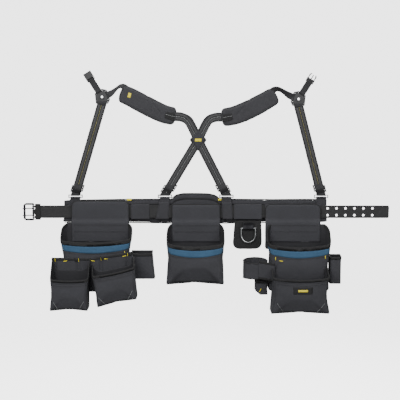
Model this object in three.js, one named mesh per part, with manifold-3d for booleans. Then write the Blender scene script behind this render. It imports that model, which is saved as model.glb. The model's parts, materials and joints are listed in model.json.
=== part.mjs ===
// Suspender tool belt laid out flat: a web belt with a two-prong roller buckle, a padded yoke,
// a harness and four holders.
// Millimetres, +Z up, +X to the belt's tail, +Y to the wearer's side. Heights are written from the belt
// line, and the whole group is moved at the end so that the origin is the back of the crossover patch.
import * as THREE from "three";
import { mergeVertices } from "three/addons/utils/BufferGeometryUtils.js";
import Module from "manifold-3d";

const wasm = await Module();
wasm.setup();

// Fits and cloth.
const GAP = 0.3; // between parts that touch
const WALL = 3; // pouch cloth with its lining
const PLY = 1.9; // one ply of strap webbing
const WIRE = 2; // radius of the rings' wire
const LOOP_CLEAR = 0.3; // a strap loop round a bar

// Layers from the wearer forwards (Y falls).
const YOKE_THICK = 14;
const TAB_THICK = 2 * PLY;
const SLEEVE_PLY = 2.4;
const BELT_THICK = 3;
const TAB_BACK = -YOKE_THICK - GAP;
const TAB_FRONT = TAB_BACK - TAB_THICK;
const SLEEVE_BACK = TAB_FRONT - 0.5;
const BELT_BACK = SLEEVE_BACK - SLEEVE_PLY - GAP;
const BELT_FRONT = BELT_BACK - BELT_THICK;
const SLEEVE_FRONT = BELT_FRONT - GAP - SLEEVE_PLY;
const PLATE_THICK = 2.2; // cloth plate on the front of a sleeve
const PLATE_FRONT = SLEEVE_FRONT - PLATE_THICK;
const BAG_BACK = PLATE_FRONT - GAP;
const HARNESS_Y = TAB_BACK - TAB_THICK / 2; // middle plane of rings, loops and strap hardware
const BELT_Y = BELT_BACK - BELT_THICK / 2;

// Web belt.
const BELT_WIDTH = 50;
const BELT_Z = -3;
const BELT_LEFT = -628;
const BELT_TAIL = 745;
const HOLE_RADIUS = 5;
const HOLE_FIRST = 505;
const HOLE_PITCH = 35;
const HOLE_COUNT = 6;
const HOLE_ROWS = 27; // between the two rows

// Buckle.
const BUCKLE_BAR_X = -644;
const BUCKLE_ROLLER_X = -678;
const BUCKLE_HEIGHT = 68;
const BUCKLE_BAR = 2.5; // radius
const BUCKLE_ARM = 7;
const ROLLER_RADIUS = 4.4;
const PRONG_RADIUS = 2;
const PRONG_EYE = 4.6;

// Yoke.
const YOKE_LEFT = -526;
const YOKE_RIGHT = 504;
const YOKE_BOTTOM = -48;
const HUMP = 69;
const TAB_DIP = 46.5; // the top edge where the back tabs' folds cross it

// Rings that hang the yoke from the harness.
const RING_BAR_LOW = 52;
const RING_BAR_HIGH = 62;
const RING_HALF = 24 + WIRE; // half of the bar length between wire centres
const STRAP_WIDTH = 36;
const TAB_WIDTH = 40;

// Harness.
const CROSS_Z = 276;
const PAD_THICK = 10;
const PATCH_THICK = 2;
const TRI_SPAN = 27; // centre of a three-way ring to the outside of each side
const TRI_BAR = 2.4; // radius that the straps' folds are made for
const TRI_EDGE = 3.6; // side bar, in the plane of the ring
const TRI_PLATE = 3.2; // and across it
const TRI_SLOT = 5.2;
const TRI_FOLD = 5; // from a front strap's top line up to the bar it is folded round
const STRAP_FRONT_LAYER = HARNESS_Y - GAP / 2;
const STRAP_BACK_LAYER = HARNESS_Y + GAP / 2 + PLY;
const PATCH_BACK = STRAP_BACK_LAYER + GAP + PATCH_THICK;

const cloth = (colour) => new THREE.MeshStandardMaterial({ color: colour, roughness: 0.9, metalness: 0 });
const CHARCOAL = cloth(0x3c3c41);
const BAG_CLOTH = cloth(0x404046);
const WEBBING = cloth(0x3d3d3c);
const PADDING = cloth(0x37373b);
const OLIVE = cloth(0xb5a637);
const BLACK_METAL = new THREE.MeshStandardMaterial({ color: 0x222225, roughness: 0.4, metalness: 0.9 });
const STEEL = new THREE.MeshStandardMaterial({ color: 0xb8babd, roughness: 0.3, metalness: 1 });
const PLASTIC = new THREE.MeshStandardMaterial({ color: 0x26262a, roughness: 0.5, metalness: 0 });

const group = new THREE.Group();

// Adds a geometry as a named mesh.
function add(name, geometry, material) {
  const mesh = new THREE.Mesh(geometry, material);
  mesh.name = name;
  group.add(mesh);
}

// A geometry as a manifold solid, and back.
function solid(geometry) {
  const bare = geometry.index ? geometry.toNonIndexed() : geometry.clone();
  bare.deleteAttribute("normal");
  bare.deleteAttribute("uv");
  const merged = mergeVertices(bare, 1e-4);
  const vertProperties = new Float32Array(merged.attributes.position.array);
  const triVerts = new Uint32Array(merged.index.array);
  return new wasm.Manifold(new wasm.Mesh({ numProp: 3, vertProperties, triVerts }));
}

function geometryOf(body) {
  const mesh = body.getMesh();
  const geometry = new THREE.BufferGeometry();
  geometry.setAttribute("position", new THREE.BufferAttribute(new Float32Array(mesh.vertProperties), 3));
  geometry.setIndex(new THREE.BufferAttribute(new Uint32Array(mesh.triVerts), 1));
  return geometry;
}

function join(...geometries) {
  let body = solid(geometries[0]);
  for (const next of geometries.slice(1)) body = body.add(solid(next));
  return geometryOf(body);
}

function cut(base, ...tools) {
  let body = solid(base);
  for (const tool of tools) body = body.subtract(solid(tool));
  return geometryOf(body);
}

function common(...geometries) {
  let body = solid(geometries[0]);
  for (const next of geometries.slice(1)) body = body.intersect(solid(next));
  return geometryOf(body);
}

function box(left, right, back, front, bottom, top) {
  const made = new THREE.BoxGeometry(right - left, back - front, top - bottom);
  return made.translate((left + right) / 2, (back + front) / 2, (bottom + top) / 2);
}

function shapeOf(points) {
  return new THREE.Shape(points.map(([a, b]) => new THREE.Vector2(a, b)));
}

// A flat outline in X and Z, from y = back forwards to y = front.
function sheetXZ(shape, back, front, bevel = 0) {
  const made = new THREE.ExtrudeGeometry(shape, {
    depth: back - front - 2 * bevel,
    bevelEnabled: bevel > 0,
    bevelThickness: bevel,
    bevelSize: bevel,
    bevelOffset: -bevel,
    bevelSegments: 2,
    curveSegments: 6,
  });
  return made.rotateX(Math.PI / 2).translate(0, back - bevel, 0);
}

// A profile in Y and Z, from x = left to x = right.
function profileYZ(shape, left, right) {
  const depth = right - left;
  const made = new THREE.ExtrudeGeometry(shape, { depth, bevelEnabled: false, curveSegments: 6 });
  const turn = new THREE.Matrix4();
  turn.makeBasis(new THREE.Vector3(0, 1, 0), new THREE.Vector3(0, 0, 1), new THREE.Vector3(1, 0, 0));
  return made.applyMatrix4(turn).translate(left, 0, 0);
}

// A plan in X and Y, from z = bottom to z = top.
function planXY(shape, bottom, top) {
  const depth = top - bottom;
  const made = new THREE.ExtrudeGeometry(shape, { depth, bevelEnabled: false, curveSegments: 5 });
  return made.translate(0, 0, bottom);
}

// A polygon whose corners are rounded by the radii given, one for each corner.
function rounded(points, radii) {
  const shape = new THREE.Shape();
  const count = points.length;
  for (let i = 0; i < count; i++) {
    const here = new THREE.Vector2(...points[i]);
    const before = new THREE.Vector2(...points[(i + count - 1) % count]).sub(here);
    const after = new THREE.Vector2(...points[(i + 1) % count]).sub(here);
    const radius = Array.isArray(radii) ? radii[i] : radii;
    const start = here.clone().add(before.normalize().multiplyScalar(radius));
    const end = here.clone().add(after.normalize().multiplyScalar(radius));
    if (i === 0) shape.moveTo(start.x, start.y);
    else shape.lineTo(start.x, start.y);
    if (radius > 0) shape.quadraticCurveTo(here.x, here.y, end.x, end.y);
  }
  shape.closePath();
  return shape;
}

// A flat ribbon along a smooth line through the points, in X and Z.
function ribbon(points, width, steps = 12) {
  const line = new THREE.SplineCurve(points.map(([x, z]) => new THREE.Vector2(x, z)));
  const upper = [];
  const lower = [];
  for (let i = 0; i <= steps; i++) {
    const t = i / steps;
    const at = line.getPoint(t);
    const along = line.getTangent(t);
    const half = (typeof width === "function" ? width(t) : width) / 2;
    upper.push([at.x - along.y * half, at.y + along.x * half]);
    lower.push([at.x + along.y * half, at.y - along.x * half]);
  }
  return shapeOf([...lower, ...upper.reverse()]);
}

function rod(radius, from, to, segments = 14) {
  const a = new THREE.Vector3(...from);
  const b = new THREE.Vector3(...to);
  const along = b.clone().sub(a);
  const made = new THREE.CylinderGeometry(radius, radius, along.length(), segments);
  const upright = new THREE.Vector3(0, 1, 0);
  const turn = new THREE.Quaternion().setFromUnitVectors(upright, along.clone().normalize());
  return made.applyQuaternion(turn).translate((a.x + b.x) / 2, (a.y + b.y) / 2, (a.z + b.z) / 2);
}

// Webbing folded round a bar: the bar lies along X at the local origin and both plies leave upwards.
function loopEnd(width, bar, ply, reach) {
  const inner = bar + LOOP_CLEAR;
  const outer = inner + ply;
  const meet = outer * 2.2;
  const profile = new THREE.Shape();
  profile.moveTo(ply, reach);
  profile.lineTo(-ply, reach);
  profile.lineTo(-ply, meet);
  profile.lineTo(-outer, 0);
  profile.absarc(0, 0, outer, Math.PI, 2 * Math.PI, false);
  profile.lineTo(ply, meet);
  profile.closePath();
  const eye = new THREE.Path();
  eye.absarc(0, 0, inner, Math.PI, 2 * Math.PI, false);
  eye.lineTo(0, meet * 0.8);
  eye.closePath();
  profile.holes.push(eye);
  return profileYZ(profile, -width / 2, width / 2);
}

// Moves a loop end made at the local origin to its bar: turned in X and Z by an angle from straight up.
function placed(geometry, x, z, angle = 0, y = HARNESS_Y) {
  return geometry.rotateY(angle).translate(x, y, z);
}

// Leans a vertical piece sideways, so that a bar it is folded round stays level.
function leaned(geometry, slope) {
  const matrix = new THREE.Matrix4();
  matrix.set(1, 0, slope, 0, 0, 1, 0, 0, 0, 0, 1, 0, 0, 0, 0, 1);
  return geometry.applyMatrix4(matrix);
}

// An open pouch: its front outline, side profile and plan cut each other, less the same a wall smaller.
function pouch(p) {
  const body = (inset, lift) => {
    const left = p.left + inset;
    const right = p.right - inset;
    const bottomLeft = (p.bottomLeft ?? p.left) + inset;
    const bottomRight = (p.bottomRight ?? p.right) - inset;
    const bottom = p.bottom + inset;
    const back = p.back - inset;
    const front = p.front + inset;
    const low = (p.lowFront ?? p.front) + inset;
    const high = Math.max(p.topBack, p.topFront) + 1 + lift;
    const face = rounded(
      [[bottomLeft, bottom], [bottomRight, bottom], [right, high], [left, high]],
      [p.corner ?? 14, p.corner ?? 14, 0, 0],
    );
    const side = rounded(
      [[back, bottom], [back, p.topBack + lift], [front, p.topFront + lift], [low, bottom]].reverse(),
      [Math.min(14, (back - low) / 3), 0, 0, 3],
    );
    const wide = Math.min(p.round ?? 16, (back - front) / 2.5);
    const widest = Math.min(left, bottomLeft);
    const most = Math.max(right, bottomRight);
    const plan = rounded(
      [[widest, Math.min(front, low)], [most, Math.min(front, low)], [most, back], [widest, back]],
      [wide, wide, 2, 2],
    );
    const tall = planXY(plan, bottom - 5, high + 5);
    return common(sheetXZ(face, 5, -400), profileYZ(side, widest - 5, most + 5), tall);
  };
  return cut(body(0, 0), body(WALL, 12));
}

// A sleeve that rides on the belt, with the cloth plate that shows above the pouch.
function sleeve(left, right, plateTop, corner) {
  const low = BELT_Z - BELT_WIDTH / 2;
  const high = BELT_Z + BELT_WIDTH / 2;
  const ring = cut(
    box(left, right, SLEEVE_BACK, SLEEVE_FRONT, low - 4, high + 4),
    box(left - 1, right + 1, BELT_BACK + GAP, BELT_FRONT - GAP, low - 1, high + 1),
  );
  const top = Math.max(plateTop, high + 4);
  const corners = [[left, low - 4], [right, low - 4], [right, top], [left, top]];
  const outline = rounded(corners, [0, 0, corner, corner]);
  return join(ring, sheetXZ(outline, SLEEVE_FRONT + 0.5, PLATE_FRONT));
}

const BAG_TOP = BELT_Z - BELT_WIDTH / 2 - 4 - 5;

// ---- web belt and buckle
{
  const outline = rounded(
    [[BELT_LEFT, BELT_Z - BELT_WIDTH / 2], [BELT_TAIL, BELT_Z - BELT_WIDTH / 2],
      [BELT_TAIL, BELT_Z + BELT_WIDTH / 2], [BELT_LEFT, BELT_Z + BELT_WIDTH / 2]],
    [0, 7, 7, 0],
  );
  for (let i = 0; i < HOLE_COUNT; i++) {
    for (const side of [-1, 1]) {
      const hole = new THREE.Path();
      const z = BELT_Z + side * HOLE_ROWS / 2;
      hole.absarc(HOLE_FIRST + i * HOLE_PITCH, z, HOLE_RADIUS, 0, 2 * Math.PI, true);
      outline.holes.push(hole);
    }
  }
  add("web_belt", sheetXZ(outline, BELT_BACK, BELT_FRONT), WEBBING);

  // The folded belt end round the buckle's bar, with two gaps for the prong eyes.
  const chapeLength = BELT_LEFT - GAP - BUCKLE_BAR_X;
  const fold = loopEnd(BELT_WIDTH, BUCKLE_BAR, BELT_THICK / 2, chapeLength);
  fold.rotateY(Math.PI / 2).translate(BUCKLE_BAR_X, BELT_Y, BELT_Z);
  const gaps = [-1, 1].map((side) => {
    const middle = BELT_Z + side * HOLE_ROWS / 2;
    return box(BUCKLE_BAR_X - 8, BUCKLE_BAR_X + 7, BELT_Y + 8, BELT_Y - 8, middle - 4, middle + 4);
  });
  add("belt_chape", cut(fold, ...gaps), WEBBING);

  const keeperLeft = BUCKLE_BAR_X + 8;
  const keeperHalf = 31;
  const keeper = cut(
    box(keeperLeft, keeperLeft + 20, BELT_Y + 5.2, BELT_Y - 5.2, BELT_Z - keeperHalf, BELT_Z + keeperHalf),
    box(keeperLeft - 1, keeperLeft + 21, BELT_Y + 2.6, BELT_Y - 2.6, BELT_Z - 26, BELT_Z + 26),
  );
  add("belt_keeper", keeper, PLASTIC);
}
{
  const half = BUCKLE_HEIGHT / 2;
  const left = BUCKLE_ROLLER_X - 4;
  const right = BUCKLE_BAR_X + 4;
  const nip = 9; // cut corners
  const outline = shapeOf([
    [left + nip, BELT_Z - half], [right - 4, BELT_Z - half], [right, BELT_Z - half + 4],
    [right, BELT_Z + half - 4], [right - 4, BELT_Z + half], [left + nip, BELT_Z + half],
    [left, BELT_Z + half - nip], [left, BELT_Z - half + nip],
  ]);
  const clear = half - BUCKLE_ARM;
  const window = box(left - 1, right + 1, BELT_Y + 9, BELT_Y - 9, BELT_Z - clear, BELT_Z + clear);
  const arms = cut(sheetXZ(outline, BELT_Y + 2.4, BELT_Y - 2.4), window);
  const reach = half - BUCKLE_ARM / 2;
  const bars = [BUCKLE_BAR_X, BUCKLE_ROLLER_X].map((x) =>
    rod(
      x === BUCKLE_BAR_X ? BUCKLE_BAR : BUCKLE_BAR - 0.4,
      [x, BELT_Y, BELT_Z - reach], [x, BELT_Y, BELT_Z + reach], 20,
    ));
  add("buckle_frame", join(arms, ...bars), BLACK_METAL);

  const rollerHalf = half - BUCKLE_ARM - 0.6;
  const shell = rod(ROLLER_RADIUS, [BUCKLE_ROLLER_X, BELT_Y, BELT_Z - rollerHalf],
    [BUCKLE_ROLLER_X, BELT_Y, BELT_Z + rollerHalf], 20);
  const boreFrom = [BUCKLE_ROLLER_X, BELT_Y, BELT_Z - half];
  const boreTo = [BUCKLE_ROLLER_X, BELT_Y, BELT_Z + half];
  const bore = rod(BUCKLE_BAR, boreFrom, boreTo, 20);
  add("buckle_roller", cut(shell, bore), BLACK_METAL);

  for (const side of [-1, 1]) {
    const z = BELT_Z + side * HOLE_ROWS / 2;
    const tipY = BELT_Y - ROLLER_RADIUS - PRONG_RADIUS - GAP;
    const eye = rod(PRONG_EYE, [BUCKLE_BAR_X, BELT_Y, z - 3], [BUCKLE_BAR_X, BELT_Y, z + 3], 20);
    const arm = rod(PRONG_RADIUS, [BUCKLE_BAR_X - 2, BELT_Y - 2, z], [BUCKLE_ROLLER_X + 5, tipY, z]);
    const tip = rod(PRONG_RADIUS, [BUCKLE_ROLLER_X + 7, tipY, z], [BUCKLE_ROLLER_X - 6, tipY, z]);
    const bore = rod(BUCKLE_BAR + 0.2, [BUCKLE_BAR_X, BELT_Y, z - 9], [BUCKLE_BAR_X, BELT_Y, z + 9], 20);
    add(side > 0 ? "prong_upper" : "prong_lower", cut(join(eye, arm, tip), bore), BLACK_METAL);
  }
}

// ---- padded yoke, tunnel and tabs
{
  const edge = [
    [YOKE_LEFT, 40], [-466, 43], [-293, 46], [-155, TAB_DIP], [-104, TAB_DIP],
    [-90, HUMP - 7], [-60, HUMP], [0, HUMP],
    [40, HUMP - 1], [70, HUMP - 8], [84, TAB_DIP], [136, TAB_DIP], [290, 45], [420, 46], [YOKE_RIGHT, 45],
  ];
  const bottom = [
    [YOKE_RIGHT, YOKE_BOTTOM + 4], [260, YOKE_BOTTOM], [0, YOKE_BOTTOM - 4], [-260, YOKE_BOTTOM],
    [YOKE_LEFT, YOKE_BOTTOM],
  ];
  add("yoke_pad", sheetXZ(shapeOf([...edge, ...bottom].reverse()), 0, -YOKE_THICK, 4), PADDING);

  const low = BELT_Z - BELT_WIDTH / 2;
  const high = BELT_Z + BELT_WIDTH / 2;
  // A flat cover over the belt, sewn to the yoke above and below it.
  const cover = (left, right) => cut(
    box(left, right, -YOKE_THICK - GAP, SLEEVE_FRONT, low - 4, high + 4),
    box(left - 1, right + 1, SLEEVE_BACK - 0.5, BELT_FRONT - GAP, low - 1, high + 1),
  );
  add("yoke_tunnel", cover(-262, -190), PADDING);

  const tabs = [
    // name, ring x, lean, over the belt or under it, how much wider each side is at the bottom
    ["tab_front_left", -479, 0.30, false, 4], ["tab_back_left", -130, 0.14, true, 6],
    ["tab_back_right", 110, -0.06, true, 0], ["tab_front_right", 480, -0.05, false, 0],
  ];
  for (const [name, x, slope, overBelt, flare] of tabs) {
    const reach = RING_BAR_LOW - (high + 10);
    const fold = loopEnd(TAB_WIDTH, WIRE, PLY, reach + 2).rotateX(Math.PI);
    const half = TAB_WIDTH / 2;
    const bottom = (overBelt ? low - 4 : YOKE_BOTTOM + 6) - RING_BAR_LOW;
    const wide = half + flare;
    const face = shapeOf([[-wide, bottom], [wide, bottom], [half, -reach], [-half, -reach]]);
    const plate = overBelt
      ? cut(
        sheetXZ(face, TAB_BACK, SLEEVE_FRONT),
        box(
          -wide - 1, wide + 1, BELT_BACK + GAP + 0.5, BELT_FRONT - GAP,
          low - 1 - RING_BAR_LOW, high + 1 - RING_BAR_LOW,
        ),
      )
      : sheetXZ(face, TAB_BACK, TAB_FRONT);
    const whole = join(fold.translate(0, HARNESS_Y, 0), plate);
    add(name, leaned(whole, slope).translate(x, 0, RING_BAR_LOW), WEBBING);
  }
}

// ---- rings
const RINGS = [["front_left", -479], ["back_left", -130], ["back_right", 110], ["front_right", 480]];
for (const [place, x] of RINGS) {
  const bars = [RING_BAR_LOW, RING_BAR_HIGH].map((z) =>
    rod(WIRE, [-RING_HALF - WIRE / 2, 0, z], [RING_HALF + WIRE / 2, 0, z], 12));
  const posts = [-RING_HALF, RING_HALF].map((at) =>
    rod(WIRE, [at, 0, RING_BAR_LOW - WIRE / 2], [at, 0, RING_BAR_HIGH + WIRE / 2], 12));
  add("ring_" + place, join(...bars, ...posts).translate(x, HARNESS_Y, 0), STEEL);
}

// ---- harness straps, each folded round the upper bar of its ring
const STRAPS = [
  // name, ring x, strap top x and z, layer, points beyond the straight run
  ["strap_front_left", -479, -372, 412, "front", []],
  ["strap_front_right", 480, 388, 404, "front", []],
  ["strap_back_left", -130, 0, CROSS_Z, "back", [[30, 337], [46, 356], [72, 364], [96, 364]]],
  ["strap_back_right", 110, 0, CROSS_Z, "front", [[-28, 334], [-42, 354], [-68, 365], [-92, 366]]],
];
const SLIDER_Z = 88;
for (const [name, x, topX, topZ, layer, beyond] of STRAPS) {
  const slope = (topX - x) / (topZ - RING_BAR_HIGH);
  const across = STRAP_WIDTH * Math.sqrt(1 + slope * slope);
  const fold = leaned(loopEnd(across, WIRE, PLY, SLIDER_Z - RING_BAR_HIGH + 14), slope);
  fold.translate(x, HARNESS_Y, RING_BAR_HIGH);
  const yFront = layer === "front" ? STRAP_FRONT_LAYER - PLY : STRAP_BACK_LAYER - PLY;
  const start = RING_BAR_HIGH + 12;
  const straight = sheetXZ(
    shapeOf([
      [x + slope * 12 - across / 2, start], [x + slope * 12 + across / 2, start],
      [topX + across / 2, topZ], [topX - across / 2, topZ],
    ]),
    yFront + PLY, yFront,
  );
  const pieces = [fold, straight];
  if (!beyond.length) {
    const top = leaned(loopEnd(across, TRI_BAR, PLY, 24).rotateX(Math.PI), slope);
    pieces.push(top.translate(topX + slope * TRI_FOLD, HARNESS_Y, topZ + TRI_FOLD));
  } else {
    const before = [topX - slope * 12, topZ - 12];
    pieces.push(sheetXZ(ribbon([before, [topX, topZ], ...beyond], STRAP_WIDTH, 16), yFront + PLY, yFront));
  }
  add(name, join(...pieces), WEBBING);

  // Slide adjuster: a flat frame with a middle bar, in front of and behind the doubled strap.
  const wide = across / 2 + 5.2;
  const deep = TAB_THICK / 2 + GAP;
  const ring = cut(
    box(-wide, wide, deep + 2, -deep - 2, -13, 13),
    box(-wide + 4, wide - 4, deep, -deep, -14, 14),
    box(-wide + 4, wide - 4, deep + 3, -deep, -8, 8),
    box(-wide + 4, wide - 4, -deep + 1, -deep - 3, 2.2, 9.5),
    box(-wide + 4, wide - 4, -deep + 1, -deep - 3, -9.5, -2.2),
  );
  const sliderX = x + slope * (SLIDER_Z - RING_BAR_HIGH);
  add(name.replace("strap", "slider"), leaned(ring, slope).translate(sliderX, HARNESS_Y, SLIDER_Z), PLASTIC);
}

// ---- crossover patch, back and front
{
  const half = 34;
  const tall = 44;
  const diamond = rounded([[0, CROSS_Z - tall], [half, CROSS_Z], [0, CROSS_Z + tall], [-half, CROSS_Z]], 6);
  add("cross_patch_back", sheetXZ(diamond, PATCH_BACK, PATCH_BACK - PATCH_THICK), CHARCOAL);
  const front = STRAP_FRONT_LAYER - PLY - GAP;
  const label = { half: 17, tall: 10 };
  const outline = rounded([
    [-label.half, CROSS_Z - label.tall], [label.half, CROSS_Z - label.tall],
    [label.half, CROSS_Z + label.tall], [-label.half, CROSS_Z + label.tall],
  ], 4);
  add("cross_patch_front", sheetXZ(outline, front, front - 1.5), OLIVE);
}

// ---- shoulder pads
const PADS = {
  left: [[-303, 458], [-262, 441], [-197, 407], [-135, 377], [-84, 366]],
  right: [[303, 452], [256, 424], [197, 393], [138, 370], [88, 362]],
};
const PAD_WIDTH = 70;
const PAD_SWELL = 7; // wider by this in the middle
const PAD_STEPS = 26;
const padBack = STRAP_BACK_LAYER + GAP + PAD_THICK;
// Width of a pad along its length: both ends are round.
function padWidth(t) {
  const end = Math.min(1, Math.min(t / 0.13, (1 - t) / 0.11));
  return (PAD_WIDTH + PAD_SWELL * Math.sin(Math.PI * t)) * (0.3 + 0.7 * Math.sqrt(1 - (1 - end) ** 2));
}
for (const [side, points] of Object.entries(PADS)) {
  add("pad_" + side, sheetXZ(ribbon(points, padWidth, PAD_STEPS), padBack, padBack - PAD_THICK, 3), PADDING);
}

// ---- three-way rings, link straps and chest straps
const LINK_WIDTH = 26;
const LINK_REACH = 24; // flat part of a link strap before it turns on edge and arches over to its pad
const CHEST_WIDTH = 25;
const CHEST_LENGTH = 44;
const CHEST_BAR = 2;
for (const [side, hands] of [["left", 1], ["right", -1]]) {
  const [, , topX, topZ] = STRAPS.find(([name]) => name === "strap_front_" + side);
  const slope = (topX - STRAPS.find(([name]) => name === "strap_front_" + side)[1]) / (topZ - RING_BAR_HIGH);
  const reach = TRI_SPAN - TRI_BAR;
  const x = topX + slope * TRI_FOLD;
  const z = topZ + TRI_FOLD + reach;
  const toPad = Math.atan2(hands * 60, 20);
  const toChest = Math.atan2(hands * -28, 45);
  const sides = [[Math.PI, 20.6], [toChest, 13.2], [toPad, 16.7]];
  const corners = [];
  const slots = [];
  for (const [angle, half] of sides) {
    const out = new THREE.Vector2(Math.sin(angle), Math.cos(angle));
    const along = new THREE.Vector2(Math.cos(angle), -Math.sin(angle));
    for (const at of [-hands, hands]) {
      const far = out.clone().multiplyScalar(reach + TRI_EDGE / 2);
      corners.push(far.addScaledVector(along, at * (half + 3)).toArray());
    }
    const slot = box(-half, half, 4, -4, reach - TRI_EDGE / 2 - TRI_SLOT, reach - TRI_EDGE / 2);
    slots.push(slot.rotateY(angle));
  }
  const outline = rounded(hands > 0 ? corners.reverse() : corners, 3);
  const plate = cut(sheetXZ(outline, TRI_PLATE / 2, -TRI_PLATE / 2), ...slots);
  const hub = new THREE.CylinderGeometry(11, 11, 5, 24);
  const hole = new THREE.CylinderGeometry(4.5, 4.5, 12, 20);
  add("tri_ring_" + side, cut(join(plate, hub), hole).translate(x, HARNESS_Y, z), PLASTIC);

  const barAt = (angle) => [x + Math.sin(angle) * reach, z + Math.cos(angle) * reach];
  const [padX, padZ] = barAt(toPad);
  const [endX, endZ] = PADS[side][0];
  const leave = LINK_REACH - 8;
  const arch = ribbon([
    [padX + Math.sin(toPad) * leave, padZ + Math.cos(toPad) * leave],
    [endX - hands * 25, endZ + 15], [endX - hands * 13, endZ + 27], [endX + hands * 2, endZ + 32],
    [endX + hands * 20, endZ + 29],
  ], 2 * PLY, 14);
  const padOutline = ribbon(PADS[side], (t) => padWidth(t) + 2 * GAP + 0.2, PAD_STEPS);
  const link = join(
    placed(loopEnd(LINK_WIDTH, TRI_BAR, PLY, LINK_REACH), padX, padZ, toPad),
    cut(
      sheetXZ(arch, HARNESS_Y + LINK_WIDTH / 2, HARNESS_Y - LINK_WIDTH / 2),
      sheetXZ(padOutline, padBack + 40, padBack - 80),
    ),
  );
  add("link_strap_" + side, link, WEBBING);

  // Chest strap with half of the side-release buckle at its end.
  const [chestX, chestZ] = barAt(toChest);
  const farBar = CHEST_LENGTH + 8;
  const strap = join(
    loopEnd(CHEST_WIDTH, TRI_BAR, PLY, CHEST_LENGTH),
    loopEnd(CHEST_WIDTH, CHEST_BAR, PLY, 14).rotateY(Math.PI).translate(0, 0, farBar),
  );
  add("chest_strap_" + side, placed(strap, chestX, chestZ, toChest), WEBBING);
  const cheeks = [-1, 1].map((at) => {
    const inside = at * (CHEST_WIDTH / 2 + 0.4);
    const outside = at * (CHEST_WIDTH / 2 + 3.4);
    return box(Math.min(inside, outside), Math.max(inside, outside), 3, -3, farBar - 3, farBar + 9);
  });
  const bar = rod(CHEST_BAR, [-CHEST_WIDTH / 2 - 2, 0, farBar], [CHEST_WIDTH / 2 + 2, 0, farBar]);
  const wide = CHEST_WIDTH / 2 + 3.4;
  if (side === "left") {
    const shell = cut(
      box(-wide, wide, 5.5, -5.5, farBar + 7, farBar + 32),
      box(-wide + 3, wide - 3, 3.2, -3.2, farBar + 9.5, farBar + 33),
      box(-wide - 1, wide + 1, 3.2, -3.2, farBar + 14, farBar + 24),
    );
    add("chest_socket", placed(join(bar, ...cheeks, shell), chestX, chestZ, toChest), PLASTIC);
  } else {
    const base = box(-wide, wide, 3, -3, farBar + 7, farBar + 13);
    const guide = box(-1.8, 1.8, 1.5, -1.5, farBar + 12, farBar + 30);
    add("chest_plug", placed(join(bar, ...cheeks, base, guide), chestX, chestZ, toChest), PLASTIC);
    for (const at of [-1, 1]) {
      const outline = [[11, 0], [14, 0], [14.4, 9], [15.4, 12], [13, 17], [9, 21], [7.6, 19], [10.4, 12]];
      const turned = outline.map(([a, b]) => [at * a, farBar + 13 + GAP + b]);
      const arm = sheetXZ(shapeOf(at > 0 ? turned : turned.reverse()), 1.8, -1.8);
      add(at > 0 ? "plug_prong_right" : "plug_prong_left", placed(arm, chestX, chestZ, toChest), PLASTIC);
    }
  }
}

// ---- left pouch: sleeve, back panel, main bag, tool sleeves, two nail bags and a side pocket
const PANEL_THICK = 2.4;
const MAIN_BACK = BAG_BACK - PANEL_THICK - GAP;
const MAIN_FRONT = -98;
const ROW_FRONT = -113;
const panel = (left, right, bottom) => sheetXZ(
  rounded([[left, bottom], [right, bottom], [right, BAG_TOP], [left, BAG_TOP]], [12, 12, 0, 0]),
  BAG_BACK, BAG_BACK - PANEL_THICK,
);
const LEFT = { left: -526, right: -258, bottom: -306 };
add("left_sleeve", sleeve(-494, -269, 40, 22), BAG_CLOTH);
add("left_back_panel", panel(-494, -269, -150), BAG_CLOTH);
add("left_main_bag", pouch({
  ...LEFT, bottomLeft: -516, bottomRight: -268, back: MAIN_BACK, front: MAIN_FRONT,
  topBack: -46, topFront: -105, corner: 18,
}), BAG_CLOTH);
{
  const row = { left: -548, right: -286, top: -170, bottom: -300, wing: -250, wingTop: -146, knee: -400 };
  const share = (row.right - row.left - WALL) / 3;
  const hollows = [0, 1, 2].map((i) => {
    const start = row.left + WALL + i * share;
    const end = start + share - WALL;
    return box(start, end, MAIN_FRONT - GAP - 2.2, ROW_FRONT + 2.2, row.bottom + WALL, row.wingTop + 9);
  });
  const outline = rounded([
    [row.left, row.bottom], [row.wing, row.bottom], [row.wing, row.wingTop],
    [row.knee, row.top], [row.left, row.top],
  ], [8, 8, 3, 0, 3]);
  const block = sheetXZ(outline, MAIN_FRONT - GAP, ROW_FRONT);
  add("left_tool_sleeves", cut(block, ...hollows), BAG_CLOTH);
}
const NAIL = { back: ROW_FRONT - GAP, front: -172, lowFront: -158, round: 18, corner: 16 };
add("left_nail_bag_outer", pouch({
  ...NAIL, left: -555, right: -411, bottomLeft: -560, bottomRight: -416,
  topBack: -170, topFront: -240, bottom: -364,
}), BAG_CLOTH);
{
  const tilted = pouch({
    ...NAIL, left: -69, right: 94, bottomLeft: -71, bottomRight: 69, topBack: 88, topFront: 58, bottom: -66,
  });
  add("left_nail_bag_inner", tilted.rotateY(-0.21).translate(-317, 0, -272), BAG_CLOTH);
}
add("left_side_pocket", pouch({
  left: LEFT.right + GAP, right: -183, back: -38, front: -72, topBack: -152, topFront: -160, bottom: -260,
  bottomLeft: LEFT.right + GAP, bottomRight: -171, corner: 8, round: 8,
}), BAG_CLOTH);

// ---- centre pouch
add("center_sleeve", sleeve(-103, 86, 24, 3), BAG_CLOTH);
add("center_back_panel", panel(-103, 86, -140), BAG_CLOTH);
add("center_bag", pouch({
  left: -114, right: 99, bottomLeft: -121, bottomRight: 95, bottom: -280, back: MAIN_BACK, front: -100,
  topBack: -50, topFront: -118, corner: 12,
}), BAG_CLOTH);

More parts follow.
